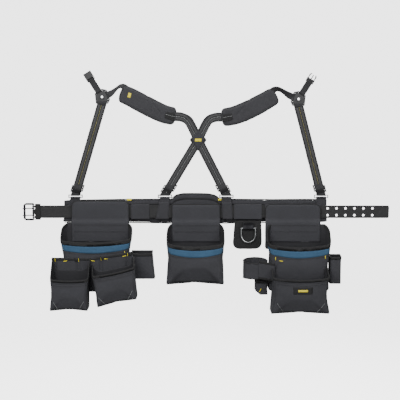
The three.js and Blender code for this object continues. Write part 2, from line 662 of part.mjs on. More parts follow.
// ---- hammer holder
const HAMMER_PAD_FRONT = BAG_BACK - 5;
const HAMMER_WIRE = 3;
const HAMMER_Z = -66;
const HAMMER_Y = HAMMER_PAD_FRONT - GAP - PLY - LOOP_CLEAR - HAMMER_WIRE;
add("hammer_sleeve", sleeve(140, 248, 26, 0), BAG_CLOTH);
{
  const outline = rounded([[133, -149], [250, -149], [246, BAG_TOP], [142, BAG_TOP]], [32, 32, 0, 0]);
  add("hammer_pad", sheetXZ(outline, BAG_BACK, HAMMER_PAD_FRONT, 1.5), PLASTIC);
  add("hammer_bracket", placed(loopEnd(40, HAMMER_WIRE, PLY, 22), 195, HAMMER_Z, 0, HAMMER_Y), BLACK_METAL);
  const bend = new THREE.CatmullRomCurve3([
    [-27, 0], [-27.5, -14], [-26, -34], [-17, -49], [0, -55], [17, -49], [26, -34], [27.5, -14], [27, 0],
  ].map(([a, b]) => new THREE.Vector3(a, 0, b)));
  const ring = new THREE.Shape();
  ring.absarc(0, 0, HAMMER_WIRE, 0, 2 * Math.PI, false);
  const sweep = { steps: 22, extrudePath: bend, bevelEnabled: false, curveSegments: 5 };
  const bow = new THREE.ExtrudeGeometry(ring, sweep);
  const bar = rod(HAMMER_WIRE, [-30, 0, 0], [30, 0, 0], 16);
  add("hammer_loop", join(bow, bar).translate(195, HAMMER_Y, HAMMER_Z), STEEL);
}

// ---- right pouch: sleeve, back panel, main bag, front bag, tool loop and two pockets
const RIGHT = { left: 269, right: 507, bottom: -302 };
add("right_sleeve", sleeve(261, 477, 27, 5), BAG_CLOTH);
add("right_back_panel", panel(261, 477, -150), BAG_CLOTH);
add("right_main_bag", pouch({
  ...RIGHT, bottomLeft: 272, bottomRight: 503, back: MAIN_BACK, front: MAIN_FRONT,
  topBack: -50, topFront: -122, corner: 16,
}), BAG_CLOTH);
add("right_front_bag", pouch({
  left: 284, right: 486, bottomLeft: 287, bottomRight: 498, bottom: -380,
  back: MAIN_FRONT - GAP, front: -166,
  lowFront: -150, topBack: -205, topFront: -236, corner: 14, round: 20,
}), BAG_CLOTH);
{
  const band = (rx, ry) => {
    const shape = new THREE.Shape();
    shape.absellipse(220.5, -74, rx, ry, 0, 2 * Math.PI, false, 0);
    return shape;
  };
  const outer = band(48, 36);
  outer.holes.push(band(45, 33));
  add("right_tool_loop", planXY(outer, -252, -180), BAG_CLOTH);
}
add("right_low_pocket", pouch({
  left: 219, right: RIGHT.left - GAP, bottomLeft: 226, bottomRight: RIGHT.left - GAP, bottom: -318,
  back: -52,
  front: -92, topBack: -258, topFront: -262, corner: 8, round: 8,
}), BAG_CLOTH);
add("right_side_pocket", pouch({
  left: RIGHT.right + GAP, right: 552, bottomLeft: RIGHT.right + GAP, bottomRight: 550, bottom: -277,
  back: -44,
  front: -84, topBack: -166, topFront: -172, corner: 6, round: 8,
}), BAG_CLOTH);

// The origin is the back face of the crossover patch.
for (const mesh of group.children) mesh.geometry.translate(0, -PATCH_BACK, -CROSS_Z);

export default group;
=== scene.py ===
import json
import math

import bmesh
import bpy
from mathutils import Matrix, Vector, noise
from mathutils.bvhtree import BVHTree

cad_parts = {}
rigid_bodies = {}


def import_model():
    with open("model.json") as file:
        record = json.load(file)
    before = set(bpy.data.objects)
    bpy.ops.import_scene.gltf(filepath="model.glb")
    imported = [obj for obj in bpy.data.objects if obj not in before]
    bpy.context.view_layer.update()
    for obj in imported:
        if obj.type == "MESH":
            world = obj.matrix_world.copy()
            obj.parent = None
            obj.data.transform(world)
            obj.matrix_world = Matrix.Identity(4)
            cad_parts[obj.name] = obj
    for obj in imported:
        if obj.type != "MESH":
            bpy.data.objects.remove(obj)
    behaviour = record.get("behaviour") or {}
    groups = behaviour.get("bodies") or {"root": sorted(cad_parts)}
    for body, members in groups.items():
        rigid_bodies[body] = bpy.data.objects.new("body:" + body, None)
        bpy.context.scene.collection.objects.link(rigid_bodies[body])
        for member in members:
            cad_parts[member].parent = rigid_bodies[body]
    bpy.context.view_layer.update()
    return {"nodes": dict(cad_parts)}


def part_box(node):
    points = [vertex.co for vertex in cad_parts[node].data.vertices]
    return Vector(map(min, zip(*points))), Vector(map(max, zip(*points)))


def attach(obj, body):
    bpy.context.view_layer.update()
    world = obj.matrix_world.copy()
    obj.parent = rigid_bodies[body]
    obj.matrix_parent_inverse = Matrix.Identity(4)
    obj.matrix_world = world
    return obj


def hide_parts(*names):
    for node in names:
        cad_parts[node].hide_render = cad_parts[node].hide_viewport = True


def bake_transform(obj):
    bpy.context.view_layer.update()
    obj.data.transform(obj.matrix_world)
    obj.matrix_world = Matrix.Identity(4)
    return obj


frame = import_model()
NODES = frame["nodes"]
FORWARD = Vector((0, -1, 0))


def box(node_name):
    """A CAD node's lowest and highest corners."""
    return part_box(node_name)


def spread(first, last, count):
    """Numbers or points in count equal steps from first to last, both included."""
    return [first + (last - first) * (i / count) for i in range(count + 1)]


def ease(t):
    """A smooth step from 0 to 1."""
    return t * t * (3 - 2 * t)


def tube_faces(rings, size, closed=False, capped=False):
    """Faces between rings of size points each. closed joins the last ring to the first and capped fills both
    ends."""
    faces = []
    for i in range(rings if closed else rings - 1):
        a, b = i * size, (i + 1) % rings * size
        for k in range(size):
            n = (k + 1) % size
            faces.append((a + k, a + n, b + n, b + k))
    if capped:
        faces.append(tuple(range(size)))
        faces.append(tuple((rings - 1) * size + k for k in range(size - 1, -1, -1)))
    return faces


def slab_faces(nx, nz):
    """Faces of a slab: a front and a back grid of nx by nz cells, joined round their edges."""
    faces = []
    wide, size = nx + 1, (nx + 1) * (nz + 1)
    for j in range(nz):
        for i in range(nx):
            a = j * wide + i
            faces.append((a, a + 1, a + wide + 1, a + wide))
            faces.append((size + a, size + a + wide, size + a + wide + 1, size + a + 1))
    sides = [(j * wide + i, wide) for j in range(nz) for i in (0, nx)]
    ends = [(j * wide + i, 1) for i in range(nx) for j in (0, nz)]
    for a, step in sides + ends:
        faces.append((a, a + step, size + a + step, size + a))
    return faces


# ---------------------------------------------------------------- camera, backdrop and lights
belt_lo, belt_hi = box("web_belt")
yoke_lo, yoke_hi = box("yoke_pad")
BELT_Z = (belt_lo.z + belt_hi.z) / 2
CAMERA_FAR = 2.8
CAMERA_RISE = math.radians(6.0)
SENSOR = 36.0
TARGET = Vector((0.007, -0.010, BELT_Z + 0.046))
VIEW_WIDTH = 1.56
# Each light has a name, a place, a size and a power. All of them aim at the middle of the belt.
LIGHTS = (("key", (-1.2, -2.2, 1.6), 1.6, 140), ("fill", (1.6, -2.0, 0.5), 1.8, 46),
          ("top", (0, -0.4, 1.9), 1.4, 40), ("back", (0.9, 2.3, 1.5), 1.6, 170))
WORLD_LIGHT = 0.75
# The backdrop is a pale round floor well below the pouches. It bends up into a wall outside every camera.
FLOOR_DROP, FLOOR_RADIUS, FLOOR_BEND, WALL_HEIGHT, FLOOR_GLOW = 1.5, 6.0, 2.0, 8.0, 2.5


def link(name, data):
    """A new object in the scene."""
    made = bpy.data.objects.new(name, data)
    bpy.context.scene.collection.objects.link(made)
    return made


def make_camera():
    data = bpy.data.cameras.new("camera")
    data.sensor_width = SENSOR
    data.lens = SENSOR * CAMERA_FAR / VIEW_WIDTH
    camera = link("camera", data)
    back = Vector((0, -math.cos(CAMERA_RISE), math.sin(CAMERA_RISE)))
    camera.location = TARGET + back * CAMERA_FAR
    camera.rotation_euler = (-back).to_track_quat("-Z", "Y").to_euler()
    bpy.context.scene.camera = camera


def area_light(name, place, size, power):
    data = bpy.data.lights.new(name, "AREA")
    data.shape = "SQUARE"
    data.size = size
    data.energy = power
    light = link(name, data)
    light.location = Vector(place)
    light.visible_camera = False
    light.rotation_euler = (Vector((0, 0, BELT_Z)) - Vector(place)).to_track_quat("-Z", "Y").to_euler()


def make_backdrop():
    mesh = bpy.data.meshes.new("backdrop")
    low = belt_lo.z - FLOOR_DROP
    flat = FLOOR_RADIUS - FLOOR_BEND
    around, bends = 64, 12
    rows = [(0.01, low), (flat / 2, low), (flat, low)]
    for a in spread(0, math.pi / 2, bends)[1:]:
        rows.append((flat + FLOOR_BEND * math.sin(a), low + FLOOR_BEND * (1 - math.cos(a))))
    rows.append((FLOOR_RADIUS, low + WALL_HEIGHT))
    verts = []
    for radius, height in rows:
        for a in spread(0, 2 * math.pi, around)[:-1]:
            verts.append((radius * math.cos(a), radius * math.sin(a), height))
    mesh.from_pydata(verts, [], tube_faces(len(rows), around) + [tuple(range(around))])
    for polygon in mesh.polygons:
        polygon.use_smooth = True
    backdrop = link("backdrop", mesh)
    material = bpy.data.materials.new("backdrop")
    material.use_nodes = True
    shader = material.node_tree.nodes["Principled BSDF"]
    shader.inputs["Base Color"].default_value = (0.93, 0.93, 0.93, 1)
    shader.inputs["Roughness"].default_value = 0.95
    shader.inputs["Emission Color"].default_value = (1, 1, 1, 1)
    shader.inputs["Emission Strength"].default_value = FLOOR_GLOW
    mesh.materials.append(material)
    # The pale sheet shows to the camera only, so it neither lights the dark cloth nor shows in the steel.
    backdrop.visible_diffuse = False
    backdrop.visible_glossy = False


world = bpy.data.worlds.new("world")
world.use_nodes = True
world.node_tree.nodes["Background"].inputs[0].default_value = (1, 1, 1, 1)
world.node_tree.nodes["Background"].inputs[1].default_value = WORLD_LIGHT
bpy.context.scene.world = world
make_camera()
for light_values in LIGHTS:
    area_light(*light_values)
make_backdrop()


# ---------------------------------------------------------------- materials
def new_material(name, colour, roughness, metallic=0.0):
    material = bpy.data.materials.new(name)
    material.use_nodes = True
    tree = material.node_tree
    shader = tree.nodes["Principled BSDF"]
    shader.inputs["Base Color"].default_value = (*colour, 1)
    shader.inputs["Roughness"].default_value = roughness
    shader.inputs["Metallic"].default_value = metallic
    return material, tree, shader


def math_node(tree, operation, a, b=None):
    made = tree.nodes.new("ShaderNodeMath")
    made.operation = operation
    for i, value in enumerate((a, b)):
        if isinstance(value, (int, float)):
            made.inputs[i].default_value = value
        elif value is not None:
            tree.links.new(value, made.inputs[i])
    return made.outputs[0]


def noise_node(tree, coords, scale, detail=2):
    """Cloudy noise over the object's own coordinates."""
    made = tree.nodes.new("ShaderNodeTexNoise")
    made.inputs["Scale"].default_value = scale
    made.inputs["Detail"].default_value = detail
    tree.links.new(coords.outputs["Object"], made.inputs["Vector"])
    return made.outputs["Fac"]


def colour_ramp(tree, shader, value, dark, light):
    """Base colour from a value. dark and light each hold a place on the ramp and a colour."""
    ramp = tree.nodes.new("ShaderNodeValToRGB")
    for element, (place, colour) in zip(ramp.color_ramp.elements, (dark, light)):
        element.position = place
        element.color = (*colour, 1)
    tree.links.new(value, ramp.inputs[0])
    tree.links.new(ramp.outputs[0], shader.inputs["Base Color"])


def bumps(tree, shader, height, strength, distance):
    bumper = tree.nodes.new("ShaderNodeBump")
    bumper.inputs["Strength"].default_value = strength
    bumper.inputs["Distance"].default_value = distance
    tree.links.new(height, bumper.inputs["Height"])
    tree.links.new(bumper.outputs[0], shader.inputs["Normal"])


def cloth(name, colour, pitch=0.0022, light=1.35, roughness=0.88, bump=0.35):
    """Woven cloth: threads pitch metres apart that run both ways, and blotches of wear and dust."""
    material, tree, shader = new_material(name, colour, roughness)
    coords = tree.nodes.new("ShaderNodeTexCoord")
    split = tree.nodes.new("ShaderNodeSeparateXYZ")
    tree.links.new(coords.outputs["Object"], split.inputs[0])
    waves = 2 * math.pi / pitch
    across = math_node(tree, "SINE", math_node(tree, "MULTIPLY", split.outputs[0], waves))
    second = math_node(tree, "ADD", split.outputs[2], split.outputs[1])
    along = math_node(tree, "SINE", math_node(tree, "MULTIPLY", second, waves))
    weave = math_node(tree, "MULTIPLY", across, along)
    blotch = noise_node(tree, coords, 14, 5)
    fibre = noise_node(tree, coords, 700)
    shade = math_node(tree, "ADD", math_node(tree, "MULTIPLY", weave, 0.35), 0.5)
    speckle = math_node(tree, "MULTIPLY", fibre, 0.5)
    patchy = math_node(tree, "MULTIPLY", blotch, 0.55)
    total = math_node(tree, "ADD", math_node(tree, "ADD", shade, speckle), patchy)
    worn = [min(1, c * light + 0.0024) for c in colour]
    colour_ramp(tree, shader, math_node(tree, "MULTIPLY", total, 0.72), (0.35, [c * 0.72 for c in colour]),
                (1.45 / 1.6, worn))
    rough = math_node(tree, "ADD", math_node(tree, "MULTIPLY", blotch, 0.16), roughness - 0.1)
    tree.links.new(rough, shader.inputs["Roughness"])
    relief = math_node(tree, "ADD", weave, math_node(tree, "MULTIPLY", fibre, 0.8))
    bumps(tree, shader, relief, bump, 0.0005)
    shader.inputs["Specular IOR Level"].default_value = 0.16
    return material


def hard(name, colour, roughness, metallic, bump=0.08):
    """Metal or moulded plastic with a fine grain, uneven gloss and faint scuffs."""
    material, tree, shader = new_material(name, colour, roughness, metallic)
    coords = tree.nodes.new("ShaderNodeTexCoord")
    scuff = noise_node(tree, coords, 60, 6)
    fine = noise_node(tree, coords, 1320)
    colour_ramp(tree, shader, scuff, (0.35, [c * 0.8 for c in colour]),
                (0.75, [min(1, c * 1.25 + 0.004) for c in colour]))
    rough = math_node(tree, "ADD", math_node(tree, "MULTIPLY", scuff, 0.12), roughness - 0.06)
    tree.links.new(rough, shader.inputs["Roughness"])
    bumps(tree, shader, fine, bump, 0.0003)
    shader.inputs["Specular IOR Level"].default_value = 0.3
    return material


BAG = cloth("bag cloth", (0.0185, 0.0187, 0.0215))
# The inside of the bags is the same charcoal cloth as the outside, made darker here as painted shade inside the
# bags.
BAG_INSIDE_SHADE = cloth("bag lining", (0.0110, 0.0110, 0.0125), bump=0.2)
YOKE = cloth("yoke cloth", (0.0170, 0.0170, 0.0195), pitch=0.0018)
WEB = cloth("webbing", (0.0130, 0.0130, 0.0140), pitch=0.0030, bump=0.6)
WEB_RIB = cloth("webbing rib", (0.027, 0.027, 0.028), pitch=0.0030, bump=0.6)
BELT = cloth("belt webbing", (0.0140, 0.0140, 0.0145), pitch=0.0026, bump=0.5)
BINDING = cloth("binding tape", (0.0085, 0.0085, 0.0088), pitch=0.0014, bump=0.4)
BLUE = cloth("blue band", (0.0150, 0.0400, 0.0720), pitch=0.0015)
OLIVE = cloth("olive thread", (0.42, 0.35, 0.020), pitch=0.0009, light=1.15)
GREY_THREAD = cloth("grey thread", (0.150, 0.155, 0.155), pitch=0.0009)
OLIVE_GREY = cloth("strap stitch", (0.165, 0.150, 0.050), pitch=0.0009)
BLACK_METAL = hard("black metal", (0.014, 0.014, 0.016), 0.34, 0.85)
STEEL = hard("steel", (0.24, 0.245, 0.25), 0.24, 1.0, bump=0.04)
PLASTIC = hard("black plastic", (0.012, 0.012, 0.013), 0.5, 0.0)
RUBBER = cloth("pad skin", (0.0160, 0.0160, 0.0180), pitch=0.0012, bump=0.25, roughness=0.8)


# ---------------------------------------------------------------- mesh helpers
def make_object(name, verts, faces, material, body=None, smooth=True, uvs=None):
    mesh = bpy.data.meshes.new(name)
    mesh.from_pydata([tuple(v) for v in verts], [], faces)
    if uvs is not None:
        layer = mesh.uv_layers.new(name="uv")
        for loop in mesh.loops:
            layer.data[loop.index].uv = uvs[loop.vertex_index]
    mesh.update()
    tidy = bmesh.new()
    tidy.from_mesh(mesh)
    bmesh.ops.recalc_face_normals(tidy, faces=tidy.faces)
    tidy.to_mesh(mesh)
    tidy.free()
    for polygon in mesh.polygons:
        polygon.use_smooth = smooth
    mesh.materials.append(material)
    made = link(name, mesh)
    if body:
        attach(made, body)
    return made


def apply_modifiers(thing):
    bpy.context.view_layer.update()
    graph = bpy.context.evaluated_depsgraph_get()
    mesh = bpy.data.meshes.new_from_object(thing.evaluated_get(graph), depsgraph=graph)
    thing.modifiers.clear()
    old = thing.data
    thing.data = mesh
    bpy.data.meshes.remove(old)
    return thing


def copy_of(node_name, name, material):
    """A new piece that starts as a CAD node's mesh."""
    mesh = NODES[node_name].data.copy()
    mesh.materials.clear()
    mesh.materials.append(material)
    return link(name, mesh)


def body_name(node_name):
    """The CAD body that a node belongs to."""
    return NODES[node_name].parent.name.split("body:")[-1]


def displace(mesh, amount):
    """Moves every point of a mesh out along its normal by amount(point)."""
    spots = [vertex.co.copy() for vertex in mesh.vertices]
    outs = [vertex.normal.copy() for vertex in mesh.vertices]
    flat = []
    for spot, out in zip(spots, outs):
        flat.extend(spot + out * amount(spot))
    mesh.vertices.foreach_set("co", flat)
    mesh.update()


def soften(node_name, name, material, voxel=0.0013, smooth=4, wrinkle=0.0005, keep=0.4):
    """Cloth made from a CAD solid: remeshed, relaxed so that its edges roll, and faintly wrinkled."""
    made = copy_of(node_name, name, material)
    remesh = made.modifiers.new("remesh", "REMESH")
    remesh.mode = "VOXEL"
    remesh.voxel_size = voxel * 1
    relax = made.modifiers.new("relax", "SMOOTH")
    relax.factor = 0.5
    relax.iterations = smooth
    fewer = made.modifiers.new("fewer", "DECIMATE")
    fewer.ratio = keep
    apply_modifiers(made)
    displace(made.data, lambda p: (noise.noise(p * 38) + noise.noise(p * 38 * 3.1) * 0.4) * wrinkle)
    finish_piece(made, material, body_name(node_name), (node_name,))
    return made


def finish_piece(made, material, body, stands_for):
    """Smooth shading, one material, the CAD nodes that it stands for and the body it rides on."""
    mesh = made.data
    for polygon in mesh.polygons:
        polygon.use_smooth = True
    if material is not None:
        mesh.materials.clear()
        mesh.materials.append(material)
    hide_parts(*stands_for)
    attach(made, body)


PUFF_FRAMES = 20


def puff(node_name, name, material, voxel, inset, seams):
    """A stuffed piece: a CAD solid shrunk by inset and blown up again like a cushion, then sewn along seams.
    A seam is a function of a point that gives its distance to the seam line in metres."""
    made = copy_of(node_name, name, material)
    remesh = made.modifiers.new("remesh", "REMESH")
    remesh.mode = "VOXEL"
    remesh.voxel_size = voxel
    apply_modifiers(made)
    mesh = made.data
    displace(mesh, lambda p: -inset)
    start = [vertex.co.copy() for vertex in mesh.vertices]
    outs = [vertex.normal.copy() for vertex in mesh.vertices]
    press = made.modifiers.new("press", "CLOTH")
    press.settings.use_pressure = True
    press.settings.uniform_pressure_force = 4.0
    press.settings.effector_weights.gravity = 0.0
    press.settings.quality = 5
    press.settings.tension_stiffness = 25
    press.settings.compression_stiffness = 25
    press.point_cache.frame_start = 1
    press.point_cache.frame_end = PUFF_FRAMES
    for step in range(1, PUFF_FRAMES + 1):
        bpy.context.scene.frame_set(step)
    apply_modifiers(made)
    bpy.context.scene.frame_set(1)
    mesh = made.data
    flat = []
    for vertex, old, out in zip(mesh.vertices, start, outs):
        move = vertex.co - old
        # The cloth may swell but not shrink, so that the piece keeps its outline.
        if move.dot(out) < 0:
            move -= out * move.dot(out)
        flat.extend(old + move * min(1.0, inset * 1.15 / max(move.length, 1e-9)))
    mesh.vertices.foreach_set("co", flat)
    mesh.update()
    finer = made.modifiers.new("finer", "SUBSURF")
    finer.levels = finer.render_levels = 1
    apply_modifiers(made)

    def relief(p):
        depth = max([math.exp(-(seam(p) / 0.0035) ** 2) for seam in seams], default=0.0)
        return noise.noise(p * 22) * 0.0006 - depth * 0.0014

    displace(made.data, relief)
    finish_piece(made, material, body_name(node_name), (node_name,))
    return made


def heading(points, i, closed=False):
    """The direction in which a path runs at its point i."""
    count = len(points)
    before = points[(i - 1) % count] if closed else points[max(0, i - 1)]
    after = points[(i + 1) % count] if closed else points[min(count - 1, i + 1)]
    return (after - before).normalized()


def beside(along):
    """The direction square to a path that runs in X and Z."""
    return Vector((-along.z, 0, along.x))


def strip(name, centres, widths, thickness, material, body, rows=7):
    """A strap: centres are the points of its middle line, widths the full width vector at each point.
    Its section is flat with rolled edges, and its uv is metres across and along."""
    halves = spread(-0.5, 0.5, rows - 1)
    section = []
    for side, order in ((-1, halves), (1, halves[::-1])):
        section.extend((h, side * (0.5 if abs(h) < 0.47 else 0.18)) for h in order)
    verts, uvs = [], []
    run = 0.0
    for i, centre in enumerate(centres):
        across = widths[i]
        up = heading(centres, i).cross(across).normalized()
        if i > 0:
            run += (centre - centres[i - 1]).length
        for h, k in section:
            verts.append(centre + across * h + up * (thickness * k))
            uvs.append((h * across.length + 0.5, run))
    faces = tube_faces(len(centres), len(section), capped=True)
    return make_object(name, verts, faces, material, body, uvs=uvs)


BRICK = ((0, 1, 2, 3), (7, 6, 5, 4), (0, 4, 5, 1), (1, 5, 6, 2), (2, 6, 7, 3), (3, 7, 4, 0))
SHORTEST_STITCH = 0.0006


def dashes(name, lines, material, body, length=0.0036, gap=0.0018, wide=0.0009, high=0.0006):
    """Rows of stitches: each line is a list of (point, outward) pairs."""
    verts, faces = [], []
    pitch = length + gap
    for line in lines:
        carried = 0.0
        for (a, out_a), (b, _) in zip(line, line[1:]):
            span = (b - a).length
            if span < 1e-7:
                continue
            along = (b - a) / span
            at = -carried
            while at < span:
                start = max(at, 0.0)
                end = min(at + length, span)
                if end - start > SHORTEST_STITCH:
                    side = along.cross(out_a).normalized() * (wide / 2)
                    lift = out_a.normalized() * high
                    base = len(verts)
                    for v in (a + along * start, a + along * end):
                        verts.extend([v - side - lift * 0.4, v + side - lift * 0.4])
                        verts.extend([v + side * 0.4 + lift, v - side * 0.4 + lift])
                    for f in BRICK:
                        faces.append(tuple(base + k for k in f))
                at += pitch
            carried = span - (at - pitch) if at > span else 0.0
            carried = max(0.0, min(carried, pitch))
    return make_object(name, verts, faces, material, body, smooth=False)


def cordline(name, points, radius, material, body, closed=False, sides=8, squash=1.0):
    """A piped edge: a round cord along the points, flattened in Y by squash."""
    verts = []
    for i, point in enumerate(points):
        along = heading(points, i, closed)
        first = along.cross(FORWARD * -1)
        if first.length < 1e-4:
            first = along.cross(Vector((1, 0, 0)))
        first.normalize()
        second = along.cross(first).normalized() * squash
        for k in range(sides):
            angle = 2 * math.pi * k / sides
            verts.append(point + first * (radius * math.cos(angle)) + second * (radius * math.sin(angle)))
    faces = tube_faces(len(points), sides, closed, capped=not closed)
    return make_object(name, verts, faces, material, body)


# ---------------------------------------------------------------- sewn bags
BAG_WALL, TAPE_SUNK = 0.0022, 0.0002


class Bag:
    """A bag sewn from one front panel that turns back into two gussets, a flat back wall and a floor.
    u runs round it from the right back corner over the front to the left back corner and along the back wall;
    v runs from the floor, 0, to the rim, 1. across is -1 at the left side and 1 at the right, out 0 at the back
    and 1 at the front."""

    SIDE, CORNER, BACK, ROWS = 10, 8, 24, 40

    def __init__(self, node_name, drop, sag=0.007, belly=0.005, waist=0.006, arch=0.010, foot=0.0,
                 low_depth=1.0, radius=0.018, seed=0.0, mouth=0.0, top=None, tilt=0.0, fold=0.0016, narrow=0.0,
                 back_dip=0.0, turn=0.0, size=None, hips=0.0, valleys=(), rise=0.0, front=40, dent=0.0,
                 chamfer=0.0, aside=0.0):
        """The rim: drop is how far its front hangs below its back, sag how far its middle hangs, back_dip how
        far its back does, tilt and rise how much its right end stands up. The floor: arch lifts its front edge,
        foot moves it aside, narrow pulls it in, low_depth makes it less deep, chamfer cuts its left corner. The
        walls: belly swells the front, dent pushes its foot in, waist pulls the sides in, hips the back edges,
        mouth opens the top, valleys divide the front, fold sets the height of the creases that seed draws. turn
        tilts the bag, aside moves it, and size and top stand in for the CAD node's own."""
        lo, hi = [corner + Vector((aside, 0, 0)) for corner in box(node_name)]
        self.centre = (lo + hi) / 2
        if size:
            half = Vector((size[0] / 2, (hi.y - lo.y) / 2, size[1] / 2))
            lo, hi = self.centre - half, self.centre + half
        self.node, self.body = node_name, body_name(node_name)
        self.lo, self.hi = lo, hi
        self.top = hi.z if top is None else top
        self.drop, self.sag, self.back_dip, self.tilt, self.rise = drop, sag, back_dip, tilt, rise
        self.arch, self.foot, self.narrow, self.low_depth, self.chamfer = arch, foot, narrow, low_depth, chamfer
        self.belly, self.dent, self.waist, self.hips, self.mouth = belly, dent, waist, hips, mouth
        self.fold, self.seed, self.turn, self.front_count = fold, seed, turn, front
        width, depth = hi.x - lo.x, hi.y - lo.y
        r = min(radius, depth * 0.6)
        self.edge = 1 - 2 * r / width
        side = [(1.0, (depth - r) / depth * i / self.SIDE) for i in range(self.SIDE + 1)]
        bend = []
        for i in range(self.CORNER + 1):
            a = math.pi / 2 * i / self.CORNER
            bend.append((1 - 2 * r / width * (1 - math.cos(a)), 1 - r / depth * (1 - math.sin(a))))
        self.loop = side[:-1] + bend[:-1]
        for i in range(front):
            across = self.edge * (1 - 2 * i / front)
            valley = max([math.exp(-((across - v) / 0.045) ** 2) for v in valleys], default=0.0)
            self.loop.append((across, 1.0 - 0.42 * valley))
        self.loop.extend((-across, out) for across, out in bend[:0:-1] + side[:0:-1])
        self.open_count = len(self.loop)
        self.loop.extend((-1 + 2 * i / self.BACK, 0.0) for i in range(self.BACK))

    def section(self, u):
        i = int(math.floor(u)) % len(self.loop)
        j = (i + 1) % len(self.loop)
        t = u - math.floor(u)
        a, b = self.loop[i], self.loop[j]
        return a[0] + (b[0] - a[0]) * t, a[1] + (b[1] - a[1]) * t

    def front_u(self, across):
        """u on the front panel for a place across it, -1 left to 1 right."""
        start = self.SIDE + self.CORNER
        return start + (1 - max(-1, min(1, across / self.edge))) / 2 * self.front_count

    def rim(self, across, out):
        dip = self.back_dip * (1 - across ** 8) * max(0.0, 1 - 8 * out)
        hang = self.drop * (0.35 * out + 0.65 * ease(out)) + self.sag * (1 - across * across) * out + dip
        return self.top - hang + self.tilt * across * out + self.rise * max(0.0, across)

    def floor(self, across, out):
        cut_corner = self.chamfer * max(0.0, (-across - 0.2) / 0.8)
        return self.lo.z + self.arch * (1 - across ** 4) * out + 0.35 * self.arch * (1 - out) + cut_corner

    def height(self, u, down):
        """v at a distance down from the rim, in metres."""
        across, out = self.section(u)
        rim, floor = self.rim(across, out), self.floor(across, out)
        return 1 - down / (rim - floor)

    def point(self, u, v):
        across, out = self.section(u)
        z = self.floor(across, out) + (self.rim(across, out) - self.floor(across, out)) * v
        hump = math.sin(math.pi * min(1, max(0, v)))
        width = (self.hi.x - self.lo.x - abs(self.foot)) / 2 - self.narrow * (1 - v)
        width -= self.waist * hump ** 1.3 * min(1, out * 1.6 + 0.3)
        width -= self.hips * max(0.0, 1 - out * 2.2) ** 2 * v ** 2
        depth = (self.hi.y - self.lo.y) * (self.low_depth + (1 - self.low_depth) * v)
        roll = 1 - 0.10 * max(0.0, 1 - v / 0.05) ** 2
        middle = (self.hi.x + self.lo.x) / 2 + self.foot * (0.5 - v)
        x = middle + across * width * (1 - (1 - roll) * 0.25) + across * self.mouth * min(1, out * 3) * v ** 3
        y = self.hi.y - out * depth * roll
        if out > 0:
            bulge = 1 - across ** 4
            y -= self.belly * math.sin(math.pi * min(1, v * 1.05)) * bulge * out
            y += self.sag * 0.7 * (1 - across * across) * v ** 4 * out
            inside = min(1.0, max(0.0, (0.94 - 1.15 * v - abs(across)) / 0.22))
            y += self.dent * max(0.0, 1 - v / 0.42) ** 1.1 * ease(inside) * out
        spot = Vector((x * 16 + self.seed, y * 10, z * 15))
        crease = noise.noise(spot) + 0.45 * noise.noise(spot * 2.7)
        pull = abs(across) ** 3 * (1 - v) * noise.noise(Vector((x * 60, self.seed, z * 25)))
        below_rim = min(1, (1.02 - v) * 8)
        y -= out * (crease + pull * 1.2) * self.fold * below_rim
        if out < 0.98:
            x += (1 if across > 0 else -1) * crease * self.fold * 0.8 * min(1, out * 5) * below_rim
        if self.turn:
            dx, dz = x - self.centre.x, z - self.centre.z
            x = self.centre.x + dx * math.cos(self.turn) + dz * math.sin(self.turn)
            z = self.centre.z - dx * math.sin(self.turn) + dz * math.cos(self.turn)
        return Vector((x, y, z))

    def frame(self, u, v):
        """The point on the outside of the bag and the direction out of the cloth there."""
        here = self.point(u, v)
        along = self.point(u + 0.4, v) - self.point(u - 0.4, v)
        up = self.point(u, min(1.0, v + 0.01)) - self.point(u, v - 0.01)
        out = up.cross(along)
        if out.length < 1e-12:
            out = FORWARD.copy()
        out.normalize()
        centre = Vector(((self.lo.x + self.hi.x) / 2, (self.lo.y + self.hi.y) / 2, here.z))
        if out.dot(here - centre) < 0 and self.section(u)[1] > 0.02:
            out = -out
        return here, out

    def build(self, name):
        count = len(self.loop)
        verts = []
        for row in range(self.ROWS + 1):
            verts.extend(self.point(u, (row / self.ROWS) ** 1.15) for u in range(count))
        faces = tube_faces(self.ROWS + 1, count)
        # The floor: rings that close in on the middle of the lowest row and dip a little.
        middle = sum(verts[:count], Vector()) / count
        before = 0
        for share in (0.8, 0.5, 0.2):
            first = len(verts)
            for u in range(count):
                spot = middle + (verts[u] - middle) * share
                spot.z -= 0.0015 * (1 - share)
                verts.append(spot)
                n = (u + 1) % count
                faces.append((before + u, before + n, first + n, first + u))
            before = first
        faces.append(tuple(before + u for u in range(count)))
        made = make_object(name, verts, faces, BAG)
        # The inside faces of the walls get the darker copy of the cloth, which paints the shade inside the bag.
        made.data.materials.append(BAG_INSIDE_SHADE)
        thick = made.modifiers.new("thick", "SOLIDIFY")
        thick.thickness = BAG_WALL
        thick.offset = -1
        thick.material_offset = 1
        thick.material_offset_rim = 0
        apply_modifiers(made)
        finish_piece(made, None, self.body, (self.node,))

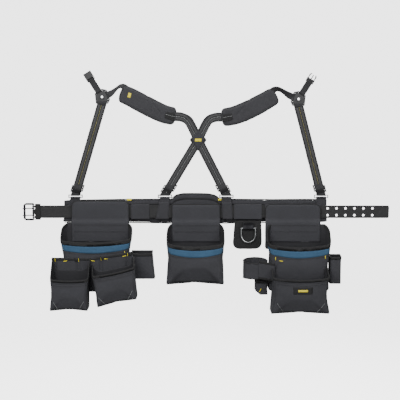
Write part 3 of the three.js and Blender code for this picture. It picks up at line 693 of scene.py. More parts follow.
    def band(self, name, u_from, u_to, down_from, down_to, material, slot, raise_by=0.0011, wrap=0.0):
        """Tape sewn on the outside, between two distances below the rim. wrap folds it over the rim and down
        inside by that much. down_from is a function of the place across."""
        steps = int(abs(u_to - u_from) * 2) + 1
        slices = 5
        verts, uvs = [], []
        run = 0.0
        last = None
        for u in spread(u_from, u_to, steps):
            column = []
            for k, down in enumerate(spread(down_to, down_from(self.section(u)[0]), slices)):
                here, out = self.frame(u, self.height(u, down))
                if k == 0:
                    column.extend((here - out * TAPE_SUNK, here + out * raise_by * 0.85))
                elif k == slices and not wrap:
                    column.extend((here + out * raise_by * 0.85, here - out * TAPE_SUNK))
                else:
                    column.append(here + out * raise_by)
            if wrap:
                here, out = self.frame(u, 0.995)
                for rise, aside in ((0.0012, raise_by * 0.6), (0.0018, -BAG_WALL * 0.5),
                                    (0.0012, -BAG_WALL - raise_by * 0.6)):
                    column.append(here + Vector((0, 0, rise)) + out * aside)
                for part in (0.3, 0.7, 1.0):
                    inner, _ = self.frame(u, self.height(u, wrap * part))
                    column.append(inner - out * (BAG_WALL + raise_by))
                column.append(inner - out * (BAG_WALL - 0.0004))
            if last is not None:
                run += (column[1] - last).length
            last = column[1]
            verts.extend(column)
            uvs.extend((run, k * 0.003) for k in range(len(column)))
        faces = tube_faces(steps + 1, len(column), capped=True)
        return make_object(name, verts, faces, material, self.body, uvs=uvs)

    def line(self, places, lift=0.0008):
        """Points with their outward directions, for stitches, through places given as (u, v)."""
        path = []
        for u, v in places:
            here, out = self.frame(u, v)
            path.append((here + out * lift, out))
        return path

    def row(self, down, skip, lift=0.0008):
        """A row of stitches at a distance below the rim, which leaves out skip steps of u at each end."""
        last = self.open_count - skip
        places = [(u, self.height(u, down)) for u in spread(skip, last, last - skip + 1)]
        return self.line(places, lift)

    def patch(self, name, across_from, across_to, v_from, v_to, material, slot, lift=0.0012, cells=8):
        """A flat patch sewn on the front panel."""
        verts = []
        for layer in (0, 1):
            for j, v in enumerate(spread(v_from, v_to, cells)):
                for i, across in enumerate(spread(across_from, across_to, cells)):
                    here, out = self.frame(self.front_u(across), v)
                    rim = i in (0, cells) or j in (0, cells)
                    verts.append(here + out * (layer * lift * (0.6 if rim else 1.0)))
        return make_object(name, verts, slab_faces(cells, cells), material, self.body)

    def corners(self, name, reach=0.42, rise=0.30):
        """Two reinforced lower corners, marked by slanting rows of light thread."""
        lines = []
        for side in (-1, 1):
            places = zip(spread(side * self.edge * 0.99, side * (1 - reach), 10), spread(rise, 0.02, 10))
            lines.append(self.line([(self.front_u(across), v) for across, v in places], 0.0004))
        return dashes(name, lines, GREY_THREAD, self.body, gap=0.0010, wide=0.0012)


def tack(name, here, out, along, length, body):
    """A bar tack: a short dense bar of thread, raised in the middle."""
    wide, high = 0.0030, 0.0014
    side = along.cross(out).normalized()
    verts = []
    steps, ring = 10, 6
    for i, t in enumerate(spread(-0.5, 0.5, steps)):
        fat = math.sqrt(max(0.0, 1 - (2 * t) ** 6)) * (1 + 0.08 * math.sin(i * 2.6))
        for a in spread(0, math.pi, ring - 1):
            verts.append(here + along * (t * length) + side * (math.cos(a) * wide / 2 * fat)
                         + out * (math.sin(a) * high * fat - 0.0003))
    return make_object(name, verts, tube_faces(steps + 1, ring, capped=True), OLIVE, body)


# ---------------------------------------------------------------- hard pieces and rays
def finish_hard(names, material, bevel=0.0006):
    """The material and a softened edge for CAD nodes that stay as built."""
    for name in names:
        piece = NODES[name]
        if not piece.material_slots:
            piece.data.materials.append(material)
        piece.material_slots[0].link = "OBJECT"
        piece.material_slots[0].material = material
        if bevel:
            soft_edge = piece.modifiers.new("edge", "BEVEL")
            soft_edge.width = bevel
            soft_edge.segments = 2
            soft_edge.limit_method = "ANGLE"
            soft_edge.angle_limit = math.radians(40)


TREES = {}


def mesh_tree(mesh):
    """A search tree of a mesh's faces, for rays."""
    spots = [vertex.co.copy() for vertex in mesh.vertices]
    return BVHTree.FromPolygons(spots, [tuple(polygon.vertices) for polygon in mesh.polygons])


def tree_of(node_name):
    """The search tree of a CAD node, made once."""
    if node_name not in TREES:
        TREES[node_name] = mesh_tree(NODES[node_name].data)
    return TREES[node_name]


def trace(node_name, y, inset, count):
    """The outline of a flat CAD solid in the plane at y, from rays towards its middle, moved in by inset."""
    lo, hi = box(node_name)
    middle = Vector(((lo.x + hi.x) / 2, y, (lo.z + hi.z) / 2))
    points = []
    for a in spread(0, 2 * math.pi, count)[:-1]:
        ray = Vector((math.cos(a), 0, math.sin(a)))
        place = tree_of(node_name).ray_cast(middle + ray * (hi - lo).length, -ray)[0]
        if place is not None:
            points.append(place - ray * inset)
    return points


def stitched(points, outward=FORWARD, closed=False):
    """Points with their outward direction, for stitches."""
    path = [(p, outward) for p in points]
    return path + path[:1] if closed else path

# ---------------------------------------------------------------- belt
BELT_BODY = body_name("web_belt")
HOLE_FIRST, HOLE_PITCH, HOLE_COUNT, HOLE_ROWS, HOLE_RADIUS = 0.505, 0.035, 6, 0.027, 0.005
soften("web_belt", "belt", BELT, smooth=3, wrinkle=0.0003, keep=0.5)
belt_rows = []
for height in (belt_hi.z - 0.004, belt_hi.z - 0.0075, belt_lo.z + 0.004, belt_lo.z + 0.0075):
    start = Vector((belt_lo.x + 0.03, belt_lo.y, height))
    end = Vector((belt_hi.x - 0.004, belt_lo.y, height))
    belt_rows.append(stitched(spread(start, end, 60)))
dashes("belt_stitches", belt_rows, BINDING, BELT_BODY, high=0.0002)


def eyelet(name, centre):
    """A dark rolled eyelet set in a belt hole."""
    verts = []
    around, tube = 24, 8
    for a in spread(0, 2 * math.pi, around)[:-1]:
        for b in spread(0, 2 * math.pi, tube)[:-1]:
            r = HOLE_RADIUS + 0.0006 + 0.0008 * math.cos(b)
            verts.append(centre + Vector((r * math.cos(a), 0.0004 * math.sin(b), r * math.sin(a))))
    make_object(name, verts, tube_faces(around, tube, closed=True), BLACK_METAL, BELT_BODY)


for i in range(HOLE_COUNT):
    for row, z in (("low", BELT_Z - HOLE_ROWS / 2), ("high", BELT_Z + HOLE_ROWS / 2)):
        for side, y in (("front", belt_lo.y + 0.0003), ("back", belt_hi.y - 0.0003)):
            eyelet(f"eyelet_{i + 1}_{row}_{side}", Vector((HOLE_FIRST + HOLE_PITCH * i, y, z)))

soften("belt_chape", "belt_fold", BELT, smooth=3, wrinkle=0.0002, keep=0.6)
soften("belt_keeper", "belt_keeper_loop", BINDING, smooth=3, wrinkle=0.0002, keep=0.6)

# ---------------------------------------------------------------- yoke
YOKE_BAND = 0.021
YOKE_SAMPLES = 103
UPRIGHTS = (-0.256, -0.150, 0.104, 0.262, 0.452)
UPRIGHT_LEAN = 0.06


def yoke_edge(x, up):
    """The height of the yoke's top or bottom edge at x."""
    start = Vector((x, (yoke_lo.y + yoke_hi.y) / 2, 0.5 if up else -1.0))
    place = tree_of("yoke_pad").ray_cast(start, Vector((0, 0, -1 if up else 1)))[0]
    return place.z if place is not None else (yoke_hi.z if up else yoke_lo.z)


yoke_edges = [(x, yoke_edge(x, True), yoke_edge(x, False))
              for x in spread(yoke_lo.x + 0.003, yoke_hi.x - 0.003, YOKE_SAMPLES)]


def edges_at(x):
    """The heights of the yoke's top and bottom edges at x."""
    t = (x - yoke_edges[0][0]) / (yoke_edges[-1][0] - yoke_edges[0][0]) * YOKE_SAMPLES
    i = max(0, min(YOKE_SAMPLES - 1, int(t)))
    f = max(0.0, min(1.0, t - i))
    return [yoke_edges[i][k] * (1 - f) + yoke_edges[i + 1][k] * f for k in (1, 2)]


def band_seam(p):
    """Distance to the seam that runs under the yoke's top edge."""
    return p.z - (edges_at(p.x)[0] - YOKE_BAND)


def upright_seam(p):
    """Distance to the nearest of the yoke's slanting seams."""
    return min(abs(p.x - x + UPRIGHT_LEAN * (p.z - BELT_Z)) for x in UPRIGHTS)


puff("yoke_pad", "yoke", YOKE, 0.005, 0.0022, (band_seam, upright_seam))


def yoke_line(down, margin, y=yoke_lo.y):
    """Points at a distance below the yoke's top edge, up to a margin from both ends."""
    xs = spread(yoke_lo.x + margin, yoke_hi.x - margin, 120)
    return [Vector((x, y, edges_at(x)[0] - down)) for x in xs]


dashes("yoke_stitches", [stitched(yoke_line(YOKE_BAND + 0.003, 0.012))], BINDING, "yoke")
back_rows = []
for down in (0.006, YOKE_BAND, 0.060):
    back_rows.append(stitched(yoke_line(down, 0.014, yoke_hi.y - 0.0002), -FORWARD))
dashes("yoke_back_stitches", back_rows, GREY_THREAD, "yoke")
edge = [Vector((x, yoke_lo.y + 0.0025, high - 0.0012)) for x, high, _ in yoke_edges]
edge += [Vector((x, yoke_lo.y + 0.0025, low + 0.0012)) for x, _, low in yoke_edges[::-1]]
cordline("yoke_piping", edge, 0.0021, BINDING, "yoke", closed=True, squash=0.9)
cordline("yoke_seam", yoke_line(YOKE_BAND, 0.006), 0.0016, BINDING, "yoke", squash=0.7)
for i, x in enumerate(UPRIGHTS):
    top, bottom = edges_at(x)
    path = [Vector((x - UPRIGHT_LEAN * (z - BELT_Z), yoke_lo.y, z))
            for z in spread(top - YOKE_BAND, bottom + 0.003, 16)]
    cordline(f"yoke_upright_{i + 1}", path, 0.0018, BINDING, "yoke", squash=0.7)
soften("yoke_tunnel", "yoke_belt_tunnel", YOKE, keep=0.5)

# ---------------------------------------------------------------- rings' tabs and the harness straps
for name in ("tab_front_left", "tab_back_left", "tab_back_right", "tab_front_right"):
    soften(name, name + "_cloth", YOKE, keep=0.45)
    front = box(name)[0].y
    loop = [Vector((p.x, front, p.z)) for p in trace(name, front + 0.001, 0.005, 72)]
    dashes(name + "_stitches", [stitched(loop, closed=True)], BINDING, body_name(name))

# Straps: woven webbing with two lighter ribs and a line of stitches down the middle. Each is two plies thick
# at its ends and one ply elsewhere, in front of or behind the harness's middle plane.
PLY_MIDDLE = 0.0011


def across_mid(node_name, z):
    """The middle of a flat strap at a height."""
    tree = tree_of(node_name)
    lo, hi = box(node_name)
    y = (lo.y + hi.y) / 2
    for depth in (y - PLY_MIDDLE, y + PLY_MIDDLE):
        left = tree.ray_cast(Vector((-1, depth, z)), Vector((1, 0, 0)))[0]
        right = tree.ray_cast(Vector((1, depth, z)), Vector((-1, 0, 0)))[0]
        if left is not None and right is not None:
            return Vector(((left.x + right.x) / 2, 0, z))
    return None


def upright_mid(node_name, x, depth):
    """The middle height of a CAD node at x and a depth."""
    tree = tree_of(node_name)
    low = tree.ray_cast(Vector((x, depth, -1)), Vector((0, 0, 1)))[0]
    high = tree.ray_cast(Vector((x, depth, 1)), Vector((0, 0, -1)))[0]
    if low is None or high is None:
        return None
    return Vector((x, 0, (low.z + high.z) / 2))


def on_front(node_name, path, lift):
    """A path laid on the front surface of a CAD node, or on its box where the node has none."""
    laid = []
    for p in path:
        hit = tree_of(node_name).ray_cast(Vector((p.x, -1, p.z)), -FORWARD)[0]
        laid.append(Vector((p.x, (hit.y if hit is not None else box(node_name)[0].y) - lift, p.z)))
    return laid


strap_paths = {}
for name in ("strap_front_left", "strap_front_right", "strap_back_left", "strap_back_right"):
    soften(name, name + "_webbing", WEB, voxel=0.0012, wrinkle=0.0004, keep=0.5)
    lo, hi = box(name)
    last = hi.z - 0.012 if "front" in name else -0.012
    path = [across_mid(name, z) for z in spread(lo.z + 0.006, last, 30)]
    path = [spot for spot in path if spot is not None]
    if "back" in name:
        # The upper part of a back strap runs nearly level, so its middle is found from below and above.
        way = 1 if name.endswith("left") else -1
        for x in spread(0.036, 0.088, 11):
            for depth in (-PLY_MIDDLE, PLY_MIDDLE):
                spot = upright_mid(name, way * x, (lo.y + hi.y) / 2 + depth)
                if spot is not None:
                    path.append(spot)
                    break
    strap_paths[name] = path
    for side, offset in (("left", -0.0078), ("right", 0.0078)):
        line = [p + beside(heading(path, i)) * offset for i, p in enumerate(path)]
        cordline(f"{name}_rib_{side}", on_front(name, line, 0.0001), 0.0040, WEB_RIB, "harness",
                 squash=0.12)
    dashes(name + "_stitches", [stitched(on_front(name, path, 0.0002))],
           OLIVE_GREY if "front" in name else GREY_THREAD, "harness", length=0.0042, gap=0.0020,
           wide=0.0017)

for name in ("chest_strap_left", "chest_strap_right"):
    soften(name, name + "_webbing", WEB, voxel=0.0012, wrinkle=0.0003, keep=0.5)
soften("cross_patch_back", "cross_patch_back_cloth", YOKE, voxel=0.0009, keep=0.5)


def pad_spine(node_name):
    """The middle line of a shoulder pad, from its left end to its right end."""
    lo, hi = box(node_name)
    depth = (lo.y + hi.y) / 2
    xs = spread(lo.x + 0.030, hi.x - 0.030, 26)
    return [Vector((x, depth, upright_mid(node_name, x, depth).z)) for x in xs]


# The straps are folded round the bars of a three-way ring, at these distances from its middle.
TRI_OUTSIDE, TRI_REACH, TRI_SLOT_MIDDLE = 0.0264, 0.0246, 0.0202
CHEST_END = 0.0563
LINK_WIDTH, LINK_LEAN = 0.026, math.radians(32)


def link_strap(side, way, hub):
    """The strap from a three-way ring to its shoulder pad. It is flat at both ends and twists nearly on edge
    where it arches over between them."""
    spine = pad_spine("pad_" + side)
    tip, inward = (spine[0], spine[3]) if side == "left" else (spine[-1], spine[-4])
    along = (inward - tip).normalized()
    up = beside(along) * way
    out = Vector((way * 60, 0, 20)).normalized()
    start = hub + out * (TRI_REACH - 0.001)
    end = tip - along * 0.004 + up * 0.022
    bends = (start, start + out * 0.034, end - along * 0.040 + up * 0.024, end)
    path, widths = [], []
    for t in spread(0, 1, 24):
        shares = ((1 - t) ** 3, 3 * t * (1 - t) ** 2, 3 * t * t * (1 - t), t ** 3)
        path.append(sum((bend * share for bend, share in zip(bends, shares)), Vector()))
    for i in range(len(path)):
        lean = math.pi / 2 - (math.pi / 2 - LINK_LEAN) * math.sin(math.pi * i / 24)
        aside = beside(heading(path, i))
        widths.append((aside * math.sin(lean) - FORWARD * math.cos(lean)) * LINK_WIDTH)
    made = strip("link_strap_" + side + "_webbing", path, widths, 0.0034, WEB, "harness", rows=9)
    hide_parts("link_strap_" + side)


# The webbing rises over each slider's middle bar.
SLIDER_HALF, SLIDER_RISE = 0.016, 0.0050
for strap, path in strap_paths.items():
    slider = strap.replace("strap", "slider")
    lo, hi = box(slider)
    middle = (lo + hi) / 2
    along = (path[4] - path[1]).normalized()
    start = box(strap)[0].y + 0.0002
    hump = []
    for t in spread(-1, 1, 16):
        spot = middle + along * (SLIDER_HALF * t)
        rise = (SLIDER_RISE + middle.y - start) * max(0.0, math.cos(math.pi * t / 2)) ** 1.5
        hump.append(Vector((spot.x, start - rise, spot.z)))
    widths = [beside(along) * 0.0335] * len(hump)
    strip(slider + "_webbing", hump, widths, 0.0019, WEB, body_name(slider))

# Each fold has a name, a direction from the ring's middle, half its length and its distance from that middle.
for side, way in (("left", 1), ("right", -1)):
    ring_lo, ring_hi = box("tri_ring_" + side)
    top = across_mid("strap_front_" + side, box("strap_front_" + side)[1].z - 0.012)
    hub = Vector((top.x + way * 0.002, (ring_lo.y + ring_hi.y) / 2, ring_lo.z + TRI_OUTSIDE))
    chest_way = Vector((way * -28, 0, 45)).normalized()
    for label, out, half, far in (("strap", Vector((0, 0, -1)), 0.0200, TRI_SLOT_MIDDLE),
                                  ("pad", Vector((way * 60, 0, 20)).normalized(), 0.0160, TRI_SLOT_MIDDLE),
                                  ("chest", chest_way, 0.0126, TRI_SLOT_MIDDLE),
                                  ("buckle", chest_way, 0.0122, TRI_REACH + CHEST_END)):
        along = Vector((out.z, 0, -out.x)) * half
        fold = spread(hub + out * far - along, hub + out * far + along, 16)
        cordline(f"fold_{label}_{side}", fold, 0.0030, WEB, "harness", sides=12, squash=0.75)
    link_strap(side, way, hub)


def flat_piece(name, corners, radius, y, thick, material):
    """A thin sewn patch on the harness: corners in X and Z with round turns, slightly domed, with a rolled
    edge."""
    outline = rounded_outline(corners, radius)
    count = len(outline)
    middle = sum(outline, Vector()) / count
    verts = []
    rings = ((1.0, 0.0), (1.0, -0.6), (0.985, -1.0), (0.8, -1.05), (0.4, -1.1))
    for share, depth in rings:
        for p in outline:
            spot = middle + (p - middle) * share
            verts.append(Vector((spot.x, y + depth * thick, spot.z)))
    faces = tube_faces(len(rings), count)
    faces.append(tuple(range(count)))
    top = (len(rings) - 1) * count
    verts.append(Vector((middle.x, y - 1.1 * thick, middle.z)))
    for i in range(count):
        faces.append((top + i, top + (i + 1) % count, len(verts) - 1))
    return make_object(name, verts, faces, material, "harness")


def rounded_outline(corners, radius, steps=5):
    """Corners in X and Z, in order, joined with round turns."""
    outline = []
    for i, here in enumerate(corners):
        before, after = corners[i - 1], corners[(i + 1) % len(corners)]
        a = here + (before - here).normalized() * radius
        b = here + (after - here).normalized() * radius
        for t in spread(0, 1, steps):
            outline.append(a * (1 - t) ** 2 + here * 2 * t * (1 - t) + b * t * t)
    return outline


def rectangle(middle, along, up):
    """The corners of a rectangle, from its middle and its half length and half height."""
    return [middle - along - up, middle + along - up, middle + along + up, middle - along + up]


label_lo, label_hi = box("cross_patch_front")
cross = (label_lo + label_hi) / 2
CROSS_HALF, CROSS_TALL = 0.025, 0.040
corners = [cross + Vector((x, 0, z)) for x, z in ((0, CROSS_TALL), (CROSS_HALF, 0.004), (0, -CROSS_TALL),
                                                  (-CROSS_HALF, 0.004))]
flat_piece("crossover_patch", corners, 0.004, label_hi.y, 0.0013, YOKE)
corners = rectangle(cross, Vector((0.0125, 0, 0)), Vector((0, 0, 0.0055)))
label = flat_piece("crossover_label", corners, 0.0025, label_hi.y - 0.0012, 0.0008, OLIVE)
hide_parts("cross_patch_front")


def pad_outline(solid, spine, inset):
    """Points round a shoulder pad's edge: square to its middle line, and in a fan at each end."""

    def edge_at(spot, ray):
        return solid.ray_cast(spot + ray * 0.12, -ray)[0] - ray * inset

    upper, lower = [], []
    for i in range(1, len(spine) - 1):
        up = beside(heading(spine, i))
        upper.append(edge_at(spine[i], up))
        lower.append(edge_at(spine[i], -up))
    fans = []
    for spot, toward in ((spine[-2], spine[-1] - spine[-3]), (spine[1], spine[0] - spine[2])):
        toward = toward.normalized()
        fans.append([edge_at(spot, toward * math.sin(a) + beside(toward) * math.cos(a))
                     for a in spread(0, math.pi, 24)[1:-1]])
    return upper + fans[0] + lower[::-1] + fans[1]


# Shoulder pads: stuffed, with piping round the edge, quilting seams and a sewn cap at the inner end.
for side, way in (("left", -1), ("right", 1)):
    name = f"pad_{side}"
    lo, hi = box(name)
    middle = (lo + hi) / 2

    def long_seam(p, way=way, middle=middle):
        along = (p.x - middle.x) * way
        return abs(along + 0.012 - (p.z - middle.z - 0.02) * 0.75) if p.z > middle.z - 0.030 else 1.0

    def short_seam(p, way=way, middle=middle):
        along = (p.x - middle.x) * way
        return abs(along + 0.020 + (p.z - middle.z) * 0.10) if abs(p.z - middle.z + 0.004) < 0.022 else 1.0

    skin = puff(name, name + "_skin", RUBBER, 0.0045, 0.0022, (long_seam, short_seam))
    spine = pad_spine(name)
    rim = [p + FORWARD * 0.0008 for p in pad_outline(mesh_tree(skin.data), spine, 0.0006)]
    cordline(name + "_piping", rim, 0.0022, BINDING, "harness", closed=True)
    if side == "right":
        spine.reverse()
    along = (spine[-1] - spine[-3]).normalized()
    up = beside(along) * -way
    cap = spine[-1] + along * 0.004
    cap.y = lo.y - 0.0006
    corners = [cap + along * a + up * b
               for a, b in ((-0.020, -0.015), (0.020, -0.018), (0.020, 0.014), (-0.020, 0.011))]
    flat_piece(name + "_cap", corners, 0.006, lo.y + 0.0006, 0.0018, BINDING)
    row = spread(cap + along * -0.018 + FORWARD * 0.0012, cap + along * 0.018 + FORWARD * 0.0012, 9)
    dashes(name + "_cap_stitches", [stitched(row)], GREY_THREAD, "harness", wide=0.0015)
    if side == "left":
        corners = rectangle(spine[2] + up * 0.006, along * 0.0058, up * 0.009)
        flat_piece("pad_label", corners, 0.002, lo.y + 0.0004, 0.0013, OLIVE)

# ---------------------------------------------------------------- sleeves, panels and bags
for name in ("left_sleeve", "center_sleeve", "hammer_sleeve", "right_sleeve"):
    soften(name, name + "_cloth", BAG, keep=0.4)
for name in ("left_back_panel", "center_back_panel", "right_back_panel"):
    soften(name, name + "_cloth", BAG, keep=0.45)
soften("hammer_pad", "hammer_pad_cloth", BINDING, keep=0.45)
loop_cloth = soften("right_tool_loop", "right_tool_loop_cloth", BAG, keep=0.6)
loop_lo, loop_hi = box("right_tool_loop")


def dipped(p):
    """A point of the tool loop, whose front edge hangs lower than its back edge."""
    front = (loop_hi.y - p.y) / (loop_hi.y - loop_lo.y)
    return Vector((p.x, p.y, loop_lo.z + (p.z - loop_lo.z) * (1 - 0.20 * front)))


for vertex in loop_cloth.data.vertices:
    vertex.co = dipped(vertex.co)


def plate(side, corner, deep=0.085, bulge=0.0020):
    """The padded front plate of a sleeve. It runs down over the swing line into the bag as its back lining."""
    name = side + "_plate"
    sleeve_node, bag_node = side + "_sleeve", side + ("_bag" if side == "center" else "_main_bag")
    carrier, bags_body = body_name(sleeve_node), body_name(bag_node)
    lo, hi = box(sleeve_node)
    swing_z = lo.z - 0.003
    nx, nz = 44, 48
    front_y, back_y = lo.y - 0.0009, box(bag_node)[1].y - 0.0036
    verts = []
    for layer in (0, 1):
        for j, z in enumerate(spread(hi.z, swing_z - deep, nz)):
            drop = hi.z - z
            cut_in = corner - math.sqrt(max(0.0, corner ** 2 - max(0.0, corner - drop) ** 2))
            half = (hi.x - lo.x) / 2 - cut_in - 0.001
            back = ease(min(1.0, max(0.0, (swing_z + 0.010 - z) / 0.022)))
            y = front_y * (1 - back) + back_y * back
            dome = bulge * (1 - abs(2 * min(1, drop / (hi.z - swing_z)) - 1) ** 6) * (1 - back)
            for i, t in enumerate(spread(-1, 1, nx)):
                x = (lo.x + hi.x) / 2 + t * half
                puffy = 0.0
                if layer == 0:
                    wave = noise.noise(Vector((x * 18, z * 18, 3.0))) * 0.0007
                    rim = i in (0, nx) or j in (0, nz)
                    puffy = dome * (1 - abs(t) ** 8) + wave + (0.0002 if rim else 0.0011)
                verts.append(Vector((x, y - puffy, z)))
    made = make_object(name, verts, slab_faces(nx, nz), BAG, None)
    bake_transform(made)
    # Piping round the part that shows above the bag, and two rows of stitches.
    left = [verts[j * (nx + 1)] for j in range(nz, -1, -1)]
    right = [verts[j * (nx + 1) + nx] for j in range(nz + 1)]
    edge_line = [p for p in left if p.z > swing_z + 0.008] + verts[1:nx]
    edge_line += [p for p in right if p.z > swing_z + 0.008]
    cordline(name + "_piping", [p - FORWARD * 0.0006 for p in edge_line], 0.0020, BINDING, carrier)
    rows = []
    for z in (swing_z - 0.020, swing_z - 0.046):
        first = round((hi.z - z) / (hi.z - swing_z + deep) * nz) * (nx + 1)
        rows.append(stitched([p + FORWARD * 0.0002 for p in verts[first + 2:first + nx - 1]]))
    dashes(name + "_stitches", rows, BINDING, bags_body, wide=0.0016, high=0.0008)


plate("left", 0.022)
plate("center", 0.006)
plate("right", 0.022)

ROW_VALLEYS = (-0.92, -0.34, 0.22, 0.88)
row_lo, row_hi = box("left_tool_sleeves")
ROW_SIZE = (row_hi.x - row_lo.x + 0.010, row_hi.z - row_lo.z)
BAG_SHAPES = {
    "left_main_bag": dict(drop=0.056, sag=0.012, narrow=0.009, arch=0.0, seed=1.0, low_depth=0.96, hips=0.016,
                          mouth=0.003, tilt=0.003),
    "left_tool_sleeves": dict(drop=0.001, sag=0.0, belly=0.0, waist=0.0, arch=0.0, fold=0.0005, radius=0.004,
                              aside=-0.005, size=ROW_SIZE, top=row_hi.z - 0.024, rise=0.024, front=90,
                              valleys=ROW_VALLEYS, seed=51.0),
    "left_nail_bag_outer": dict(drop=0.070, sag=0.006, arch=0.010, foot=-0.005, seed=7.0, radius=0.012,
                                back_dip=0.045, waist=0.004, dent=0.007),
    "left_nail_bag_inner": dict(drop=0.031, sag=0.005, arch=0.008, turn=-0.21, size=(0.176, 0.154), aside=0.005,
                                seed=13.0, radius=0.012, back_dip=0.030, foot=-0.0135, narrow=0.0045,
                                waist=0.003, dent=0.007),
    "left_side_pocket": dict(drop=0.008, sag=0.002, arch=0.0, seed=19.0, radius=0.008, waist=0.002, belly=0.002,
                             foot=0.006, narrow=-0.004),
    "center_bag": dict(drop=0.066, sag=0.014, foot=-0.002, narrow=-0.004, arch=0.013, seed=23.0, waist=0.005,
                       hips=0.014, mouth=0.002, dent=0.015, fold=0.0022),
    "right_main_bag": dict(drop=0.069, sag=0.014, narrow=0.002, arch=0.0, seed=29.0, hips=0.016, mouth=0.003),
    "right_front_bag": dict(drop=0.031, sag=0.010, aside=-0.003, low_depth=0.80, arch=0.009, seed=31.0,
                            radius=0.014, back_dip=0.012, waist=0.009, narrow=-0.006, dent=0.010, fold=0.0022),
    "right_low_pocket": dict(chamfer=0.016, drop=0.004, sag=0.001, arch=0.0, seed=37.0, radius=0.008,
                             waist=0.001, belly=0.002),
    "right_side_pocket": dict(drop=0.006, sag=0.001, arch=0.0, seed=41.0, radius=0.008, waist=0.001,
                              belly=0.002),
}
BIG = ("left_main_bag", "center_bag", "right_main_bag")
bags = {name: Bag(name, **shape) for name, shape in BAG_SHAPES.items()}
for name, bag in bags.items():
    bag.build(name + "_cloth")
    tall = 0.015 if name in BIG else 0.007 if name == "left_tool_sleeves" else 0.009
    bag.band(name + "_binding", 0, bag.open_count, lambda across: tall, 0.0006, BINDING, "webbing", wrap=0.010)
    if name == "left_tool_sleeves":
        continue
    for side, sign in (("left", -1), ("right", 1)):
        u = bag.front_u(sign * bag.edge) - sign * bag.CORNER / 2
        line = [bag.frame(u, v) for v in spread(0.02, 0.92, 24)]
        cordline(f"{name}_seam_{side}", [p + out * 0.0004 for p, out in line], 0.0012, BAG, bag.body)
for name in BIG:
    bag = bags[name]
    bag.band(name + "_blue_band", bag.SIDE - 3, bag.open_count - bag.SIDE + 3,
             lambda across: 0.0410 - 0.004 * across * across, 0.0155, BLUE, "webbing", raise_by=0.0009)
    rows = [bag.row(0.0445, 4), bag.row(0.0130, 3, 0.0019)]
    dashes(name + "_band_stitches", rows, BINDING, bag.body)
for name in ("left_nail_bag_outer", "left_nail_bag_inner", "right_front_bag"):
    bag = bags[name]
    bag.corners(name + "_corner_stitches")
    rows = [bag.row(0.013, 4), bag.row(0.021, 4)]
    dashes(name + "_rim_stitches", rows, BINDING, bag.body, wide=0.0012)


def bag_tack(name, bag, across, down, length, upright=True, turn=0.0):
    """A bar tack on the front of a bag."""
    u = bag.front_u(across)
    here, out = bag.frame(u, bag.height(u, down))
    long, short = math.cos(turn), math.sin(turn)
    along = Vector((short, 0, long)) if upright else Vector((long, 0, short))
    tack(name, here + out * 0.0012, out, (along - out * along.dot(out)).normalized(), length, bag.body)


row_bag = bags["left_tool_sleeves"]
for i, across in enumerate(ROW_VALLEYS):
    bag_tack(f"row_tack_{i + 1}", row_bag, across, 0.007, 0.014)
for i, (across, turn) in enumerate(((-0.66, 0.15), (0.02, -0.12), (0.34, 0.0), (0.80, 0.2))):
    bag_tack(f"row_bar_{i + 1}", row_bag, across, 0.0095, 0.016, upright=False, turn=turn)
main = bags["right_main_bag"]
bag_tack("right_tack_left", main, -0.80, 0.050, 0.013)
bag_tack("right_bar_left", main, -0.62, 0.056, 0.016, upright=False, turn=-0.15)
bag_tack("right_tack_right", main, 0.86, 0.046, 0.013)
bag_tack("left_tack_right", bags["left_main_bag"], 0.93, 0.050, 0.014, turn=-0.3)
bag_tack("low_pocket_tack", bags["right_low_pocket"], -0.20, 0.036, 0.016, turn=0.5)

front_bag = bags["right_front_bag"]
front_bag.patch("front_bag_patch", -0.30, 0.42, 0.58, 0.79, BINDING, "bag_cloth")
front_bag.patch("front_bag_label", -0.12, 0.24, 0.650, 0.715, OLIVE, "olive_trim", lift=0.0021)

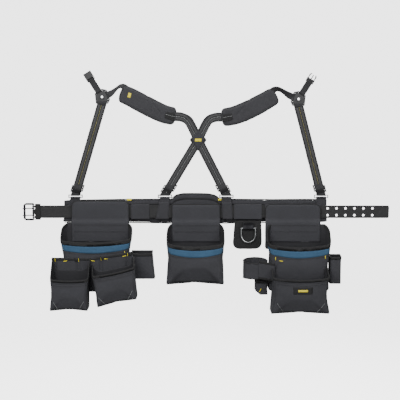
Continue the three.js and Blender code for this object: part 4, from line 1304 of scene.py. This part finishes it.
# The tool loop's band runs on over the main bag's left front corner.
TAIL_START, TAIL_LENGTH, TAIL_FALL = 0.058, 0.062, 0.010
for name, material, low, high, thick in (
        ("tool_loop_tail", BAG, loop_lo.z + 0.002, loop_hi.z - 0.002, 0.0020),
        ("tool_loop_tail_binding", BINDING, loop_hi.z - 0.011, loop_hi.z - 0.0005, 0.0030),
        ("tool_loop_tail_hem", BINDING, loop_lo.z + 0.0005, loop_lo.z + 0.009, 0.0030)):
    path = []
    for t in spread(0, 1, 12):
        path.append(Vector((loop_lo.x + TAIL_START + TAIL_LENGTH * t, loop_lo.y - 0.0012 - 0.0036 * t ** 1.5,
                            (low + high) / 2 - TAIL_FALL * t)))
    strip(name, path, [Vector((0, 0, high - low))] * len(path), thick, material, main.body)
loop_mid, loop_half = (loop_lo + loop_hi) / 2, (loop_hi - loop_lo) / 2
for name, high in (("tool_loop_rim", loop_hi.z), ("tool_loop_hem", loop_lo.z)):
    rim = []
    for a in spread(0, 2 * math.pi, 48)[:-1]:
        rim.append(dipped(Vector((loop_mid.x + (loop_half.x - 0.0015) * math.cos(a),
                                  loop_mid.y + (loop_half.y - 0.0015) * math.sin(a), high))))
    cordline(name, rim, 0.0022, BINDING, main.body, closed=True)


def yoke_tag(name, x, wide):
    """A short olive tape folded over the yoke's top edge."""
    top = edges_at(x)[0]
    front, back = yoke_lo.y + 0.0005, yoke_hi.y - 0.004
    path = [Vector((x, front - 0.0006, top - 0.007)), Vector((x, front - 0.0006, top - 0.003)),
            Vector((x, front + 0.0010, top + 0.0004)), Vector((x, (front + back) / 2, top + 0.0010)),
            Vector((x, back, top - 0.001))]
    strip(name, path, [Vector((wide, 0, 0))] * len(path), 0.0012, OLIVE, "yoke")


yoke_tag("yoke_tag_left", -0.270, 0.018)
yoke_tag("yoke_tag_right", 0.086, 0.016)

finish_hard(("ring_front_left", "ring_back_left", "ring_back_right", "ring_front_right", "hammer_loop"),
            STEEL, 0)
finish_hard(("buckle_frame", "buckle_roller", "prong_upper", "prong_lower", "hammer_bracket"), BLACK_METAL,
            0.0005)
finish_hard(("slider_front_left", "slider_front_right", "slider_back_left", "slider_back_right",
             "tri_ring_left", "tri_ring_right", "chest_socket", "chest_plug", "plug_prong_left",
             "plug_prong_right"), PLASTIC)
